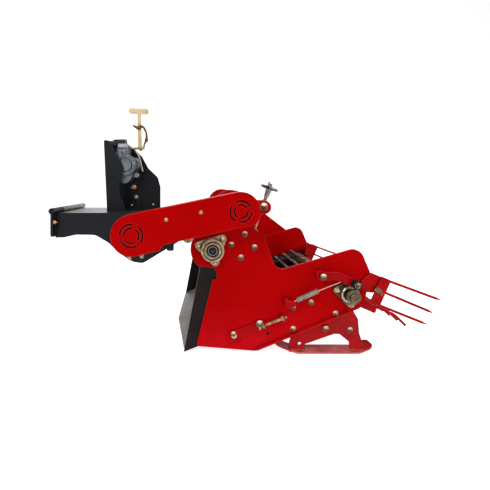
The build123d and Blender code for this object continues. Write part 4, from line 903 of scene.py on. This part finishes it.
# %% Wind the spring
SPRING_Y = -258.2
spring_from, spring_to = at(251.5, SPRING_Y, 171), at(315, SPRING_Y, 199)
run = spring_to - spring_from
lean = run.to_track_quat("Z", "Y").to_euler()
coil = carrier("spring_coil", [(0, 0, 0)])
grow(coil, winding, "digger_frame", Turns=25.0, Radius=0.0059, Length=run.length, Wire=0.00140,
     Place=tuple(spring_from), Turn=tuple(lean), Material=SPRING)
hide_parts("return_spring")

# %% [markdown]
# ## The spring's legs
# A leg is the same wire, bent: a smooth curve through a few places does it. The upper leg runs
# from the coil to hook the lever, and it hangs on no body. The short tail goes down to the anchor and
# doesn't move.

# %% Bend the legs
def wire(name, body, points, radius, material):
    """A bent wire: a NURBS curve through points in metres, kept as a curve's mesh."""
    curve = bpy.data.curves.new(name, "CURVE")
    curve.dimensions = "3D"
    curve.bevel_depth = radius
    curve.bevel_resolution = 3
    curve.use_fill_caps = True
    spline = curve.splines.new("NURBS")
    spline.points.add(len(points) - 1)
    for index, point in enumerate(points):
        spline.points[index].co = (*point, 1)
    spline.order_u = 3
    spline.use_endpoint_u = True
    spline.resolution_u = 6
    obj = add_object(name, curve)
    mesh = evaluated_mesh(obj)
    bpy.data.objects.remove(obj)
    made = add_object(name, mesh)
    mesh.materials.clear()
    mesh.materials.append(material)
    mesh.shade_smooth()
    if body:
        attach(made, body)
    return made


# Both legs are painted paler than the coil of the same wire, a painted highlight.
hook = wire("spring_legs", None, [
    spring_to - run * 0.02, spring_to + run * 0.03 - Vector((0, 0, 0.001)),
    at(340, SPRING_Y, 209), at(390, SPRING_Y, 227.5)], 0.0011, PALE_WIRE)
wire("spring_tail", "digger_frame", [
    spring_from + run * 0.02, at(247, SPRING_Y, 168), at(240.5, SPRING_Y, 165)], 0.0013, PALE_WIRE)
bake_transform(hook)
print("spring length", round(run.length, 4))


# %% [markdown]
# ## The rod web
# The web is an endless ladder: straight round rods, riveted near their ends to two flat
# rubber belts. A curve of two straights and two arcs is the belt line. The rods are
# instances along it and the belts are a flat strip swept round it, so the pitch stays even.

# %% Web line
ROD_COUNT, ROD_LINE = 23, 28  # rods, and the radius of their line round the drums
WEB_FRONT, WEB_REAR = Vector((66, 58)), Vector(WEB_BEARING)
straight = (WEB_REAR - WEB_FRONT).length
along = (WEB_REAR - WEB_FRONT).normalized()
above = Vector((-along.y, along.x))


def web_line(radius, arc_steps=14):
    """Points round the two drums at a radius, as a closed loop in x and z."""
    points = []
    for centre, start in ((WEB_REAR, 90), (WEB_FRONT, 270)):
        for step in range(arc_steps + 1):
            angle = math.radians(start - 180 * step / arc_steps)
            points.append(centre + (along * math.cos(angle) + above * math.sin(angle)) * radius)
    return points


print("between the drums", round(straight, 1))

# %% Tree: rods round a loop
ladder, given = new_group(
    "rods_round_a_loop", "GeometryNodeTree",
    [("Geometry", SHAPE, None), ("Count", WHOLE, 24), ("Rod Radius", FLOAT, 0.005),
     ("Half Length", FLOAT, 0.222), ("Material", MATERIAL, None)],
    [("Geometry", SHAPE)],
)
start = ladder.take("ShaderNodeCombineXYZ", {"Y": ladder.times(given["Half Length"], -1.0)})
end = ladder.take("ShaderNodeCombineXYZ", {"Y": given["Half Length"]})
bar = ladder.take("CurvePrimitiveLine", {"Start": start, "End": end})
loop = ladder.take("MeshToCurve", {0: given["Geometry"]})
seats = ladder.take("ResampleCurve", {"Curve": loop, "Count": given["Count"]}, mode="COUNT")
placed = ladder.take("InstanceOnPoints", {
    "Points": seats, "Instance": swept(ladder, bar, given["Rod Radius"], 14)})
hand_out(ladder, placed, given["Material"])
line = web_line(ROD_LINE)
rods = carrier("web_rods", [at(p.x, 0, p.y) for p in line],
               [(i, (i + 1) % len(line)) for i in range(len(line))])
grow(rods, ladder, "digger_frame", Count=ROD_COUNT, Material=WEB_ROD,
     **{"Rod Radius": 0.0052, "Half Length": 0.222})
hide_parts("rod_web")

# %% [markdown]
# ## Belts
# Each belt is a flat band, thick enough to bend round the drums without a crease. Two lines at
# its inner and outer face, at both edges, give four corners all the way round.

# %% Belts round the drums
BELT_Y, BELT_HALF = 193.0, 27.0
BELT_INNER, BELT_OUTER, BELT_STEPS = 18.2, 22.9, 20
bm = bmesh.new()
for side in SIDES:
    inner, outer = web_line(BELT_INNER, BELT_STEPS), web_line(BELT_OUTER, BELT_STEPS)
    count = len(inner)
    columns = [(inner, -BELT_HALF), (outer, -BELT_HALF), (outer, BELT_HALF), (inner, BELT_HALF)]
    grid = [[bm.verts.new(at(line[i].x, side * BELT_Y + y, line[i].y)) for line, y in columns]
            for i in range(count)]
    for i in range(count):
        for j in range(4):
            bm.faces.new((grid[i][j], grid[i][(j + 1) % 4],
                          grid[(i + 1) % count][(j + 1) % 4], grid[(i + 1) % count][j]))
belts = piece("web_belts", bm, "digger_frame", RUBBER)
print("belt faces", len(belts.data.polygons))

# %% [markdown]
# ## Rivets
# Two rivets hold each rod on each belt. Only the upper run shows them, so the loop walks the
# web's length by the rods' pitch and keeps what lies on the straight.

# %% Rivets through rods and belts
pitch = (2 * straight + 2 * math.pi * ROD_LINE) / ROD_COUNT
rows = []
for count in range(ROD_COUNT):
    travel = count * pitch
    if not 8 < travel < straight - 8:
        continue
    spot = WEB_FRONT + along * (straight - travel) + above * 33.0
    for belt_y in (-200, -186, 186, 200):
        rows.append((at(spot.x, belt_y, spot.y), (above.x, 0, above.y), 0.5))
bolts("web_rivets", BOLT_HEADS, "digger_frame", rows, WEB_ROD, WEB_ROD)
print("bolts, nuts and rivets so far", len(fastened))


# %% [markdown]
# ## The gearbox's machined faces
# A casting is milled only where something bolts on, so two pads stand a little proud of the
# sandy skin, with their edges broken. The level plug is a turned cap on the side box.

# %% Machined pads and the level plug
# columns: x from and to, z from and to, y of the wall
PADS = ((-337, -301, 658.5, 670.5, -32.0), (-332, -312, 612, 648, -30.0))
STEPS = ((0.4, 0.0), (-0.9, 0.0), (-1.6, 1.2))  # depth off the wall and inset of the outline
bm = bmesh.new()
for x0, x1, z0, z1, y in PADS:
    rows = []
    for depth, inset in STEPS:
        left, right, low, high = x0 + inset, x1 - inset, z0 + inset, z1 - inset
        rows.append([bm.verts.new(at(x, y + depth, z)) for x, z in (
            (left, low), (right, low), (right, high), (left, high))])
    for low_row, high_row in zip(rows, rows[1:]):
        for i in range(4):
            bm.faces.new((low_row[i], low_row[(i + 1) % 4], high_row[(i + 1) % 4], high_row[i]))
    bm.faces.new(rows[-1])
    bm.faces.new(rows[0][::-1])
piece("gearbox_machined_faces", bm, "hitch_frame", MACHINED, smooth=0)
lathe("gearbox_level_plug", "hitch_frame", at(-322, -34, 639), (0, -1, 0), [
    (0, 1.0), (3.0, 1.0), (3.4, 2.2), (6.6, 2.2), (7.6, 1.2), (7.6, -0.5), (0, -0.5)], CAST)
print("machined pads", len(PADS))

# %% [markdown]
# ## Weld beads
# The frame is welded from flat plate, so each corner carries a bead: a row of overlapping
# ripples, one for each pulse of the arc. The tree walks a line at the ripple's pitch and sets a
# ball at each step with a little chance in its size, which is how a hand bead looks.

# %% Tree: weld bead
beading, given = new_group(
    "weld_bead", "GeometryNodeTree",
    [("Geometry", SHAPE, None), ("Pitch", FLOAT, 0.0022), ("Bead", FLOAT, 0.0024),
     ("Material", MATERIAL, None), ("Seed", WHOLE, 5)],
    [("Geometry", SHAPE)],
)
path = beading.take("MeshToCurve", {0: given["Geometry"]})
steps = beading.take("ResampleCurve", {"Curve": path, "Length": given["Pitch"]}, mode="LENGTH")
ball = beading.take("MeshUVSphere", {"Segments": 12, "Rings": 8, "Radius": given["Bead"]})
chance = beading.take("FunctionNodeRandomValue", {2: 0.82, 3: 1.12, "Seed": given["Seed"]}, 1,
                      data_type="FLOAT")
placed = beading.take("InstanceOnPoints", {"Points": steps, "Instance": ball, "Scale": chance})
hand_out(beading, placed, given["Material"], smooth=True)


def welds(name, body, runs, bead, material):
    """Beads along runs of two places."""
    points = [place for run in runs for place in run]
    edges = [(i, i + 1) for i in range(0, len(points), 2)]
    return grow(carrier(name, points, edges), beading, body, Material=material,
                Bead=bead, Pitch=bead * 0.95)


print("bead nodes", len(beading.tree.nodes))

# %% [markdown]
# ## Where the beads lie
# The rakes hang on three short beads that keep their heat tint. The skid brackets and the rakes'
# corners were welded before painting, and so was the hitch plate, so those beads are coated.

# %% Lay the beads
heat_runs, red_runs, hitch_runs = [], [], []
for side in SIDES:
    y, rake_y, hitch_y = side * 234.5, side * 251, side * 127.6
    heat_runs += [[at(492 + shift * 0.6, side * 250.2, 202.5 + shift),
                   at(513 + shift * 0.6, side * 250.2, 187.5 + shift)] for shift in (-3.5, 0.5, 4.5)]
    red_runs += [[at(239, y, 5.5), at(278, y, 5.5)], [at(429, y, 5.5), at(463, y, 5.5)],
                 [at(507, rake_y, 238), at(512, rake_y, 233)], [at(519, rake_y, 219), at(523, rake_y, 213)]]
    hitch_runs.append([at(-528.5, hitch_y, 352), at(-528.5, hitch_y, 415)])
welds("rake_welds", "digger_frame", heat_runs, 0.0026, TINTED)
welds("red_welds", "digger_frame", red_runs, 0.0021, RED_DARK)
welds("hitch_welds", "hitch_frame", hitch_runs, 0.0024, BLACK)

# %% [markdown]
# ## The worn bar and the gearbox ribs
# The tractor's pin rubs the hitch bar bare over most of its length, so that length gets a thin
# skin of worn steel. The gearbox's side box is stiffened by short ribs, cast with rounded
# backs; they are drawn as half-round runs, since a square rib would not leave a sand mould.

# %% Worn bar and ribs
lathe("worn_bar_skin", "hitch_frame", at(-533, -70, 427), (0, 1, 0), [
    (10.4, 0), (10.8, 1.5), (10.85, 60), (10.8, 205), (10.4, 207), (10.4, 0)], WORN)
RIB_TOPS = ((-286, 612), (-278, 615), (-270, 612))
for number, (x, z) in enumerate(RIB_TOPS):
    wire(f"gearbox_rib_{number}", "hitch_frame", [
        at(x, -24.5, z), at(x + 6, -26.5, z - 8), at(x + 14, -24.5, z - 18)], 0.0021, CAST)
print("ribs", len(RIB_TOPS))

# %% [markdown]
# ## The keeper's second strand
# The keeper is one strap laid double and knotted at its lower end. The solid has the first
# strand; the second and the knot are bent through a few places, as cord lies when tied by hand.

# %% Second strand and knot
STRAND = ((-284, -8, 746), (-268, -11, 736), (-254, -10, 746), (-240, -4, 736), (-234, -3, 716),
          (-235, -3, 690), (-243, -2, 672))
KNOT = ((-240, -6, 692), (-232, -7, 688), (-229, 0, 686), (-235, 4, 688), (-240, 0, 692))
wire("strap_second_strand", "hitch_frame", [at(*place) for place in STRAND], 0.0030, STRAP)
wire("strap_knot", "hitch_frame", [at(*place) for place in KNOT], 0.0028, STRAP)
print("bends in the strand and the knot", len(STRAND), len(KNOT))

# %% [markdown]
# ## The studio
# The machine stands on a plain pale floor that turns up behind it without a corner. The floor
# keeps the object's shadow, and a camera sees both floor and world as the same white, so no
# horizon shows. Light Path's camera, glossy and transmission rays do that without more light on
# the machine.

# %% World
def looked_at(tree):
    """1 for rays that look, mirror or pass through, 0 for rays that only light."""
    rays = tree.add("LightPath").outputs
    either = tree.math("MAXIMUM", rays["Is Camera Ray"], rays["Is Glossy Ray"])
    return tree.math("MAXIMUM", either, rays["Is Transmission Ray"])


scene.view_settings.view_transform = "Standard"
world = bpy.data.worlds.new("studio")
scene.world = world
world.use_nodes = True
tree = Tree(world.node_tree)
sky = tree.take("TexCoord", output="Generated")
height = tree.take("SeparateXYZ", {0: sky}, "Z")
dome = tree.add("ValToRGB", {"Fac": tree.ranged(height, -1.0, 1.0)})
set_ramp(dome, (0.30, 0.85), ((0.04, 0.04, 0.042), (0.22, 0.22, 0.225)))
back = world.node_tree.nodes["Background"]
tree.fill(back, {"Strength": 1.0, "Color": dome.outputs["Color"]})
seen = tree.take("Background", {"Color": (1, 1, 1, 1), "Strength": 1.0})
mix = tree.take("MixShader", {"Fac": looked_at(tree), 1: back.outputs[0], 2: seen})
tree.fill(world.node_tree.nodes["World Output"], {"Surface": mix})
print("world nodes", len(world.node_tree.nodes))

# %% [markdown]
# ## The sweep
# A long sheet, level under the machine and curved up behind it, is what a studio uses. It glows
# a little for the same rays that see the world, so floor and world meet in one white.

# %% Floor
SWEEP_HALF, FLOOR_DROP, FLOOR_GLOW = 7.0, 0.0006, 0.80
SWEEP = ((-3.0, 0.0), (2.4, 0.0), (3.4, 0.25), (4.1, 0.95), (4.4, 2.0), (4.4, 6.0))
bm = bmesh.new()
pairs = [[bm.verts.new((x, y, z - FLOOR_DROP)) for x in (-SWEEP_HALF, SWEEP_HALF)] for y, z in SWEEP]
for before, after in zip(pairs, pairs[1:]):
    bm.faces.new((before[0], before[1], after[1], after[0]))
floor_mesh = bpy.data.meshes.new("studio_sweep")
bm.to_mesh(floor_mesh)
bm.free()
floor = add_object("studio_sweep", floor_mesh)
floor_mesh.shade_smooth()
floor_coat = bpy.data.materials.new("pale_sweep")
floor_coat.use_nodes = True
tree = Tree(floor_coat.node_tree)
tree.fill(floor_coat.node_tree.nodes["Principled BSDF"], {
    "Base Color": (0.94, 0.94, 0.94, 1), "Roughness": 0.9, "Specular IOR Level": 0.0,
    "Emission Color": (1, 1, 1, 1), "Emission Strength": tree.times(looked_at(tree), FLOOR_GLOW)})
floor_mesh.materials.append(floor_coat)
print("sweep strips", len(floor_mesh.polygons))


# %% [markdown]
# ## Light
# Three large soft boxes: a key from high on the near side, a fill from the near side towards the
# rear, and one straight above. Large lamps keep the edges of the shadows soft.

# %% Lamps
# columns: name, place, size, watts, aim
LAMPS = [
    ("key", (-1.6, -2.8, 2.6), 1.6, 50, (0.0, 0.0, 0.3)),
    ("fill", (2.4, -2.2, 1.6), 2.4, 24, (0.1, 0.0, 0.3)),
    ("top", (0.2, 0.0, 3.2), 2.4, 48, (0.0, 0.0, 0.3)),
]
for name, place, size, watts, aim in LAMPS:
    data = bpy.data.lights.new(name, "AREA")
    data.size = size
    data.energy = watts
    lamp = add_object(name, data)
    lamp.location = place
    lamp.rotation_euler = (Vector(aim) - Vector(place)).to_track_quat("-Z", "Y").to_euler()
print("lamps", len(LAMPS))

# %% [markdown]
# ## Camera
# The lens stands level, a little ahead of the front shaft and just over half a metre up, so
# every upright stays upright. The frame is shifted sideways and down to take in the machine.

# %% Camera
camera_data = bpy.data.cameras.new("camera")
camera = add_object("camera", camera_data)
scene.camera = camera
camera.location = (ROW_X - 0.0735, ROW_Y - 1.130, 0.5124)
camera.rotation_euler = (math.radians(90), 0, 0)
camera_data.sensor_width = 36
camera_data.lens = 21.44
camera_data.shift_x = 0.1163
camera_data.shift_y = -0.1204
camera_data.clip_start = 0.01
print("camera stands off by", round(ROW_Y - camera.location.y, 3))
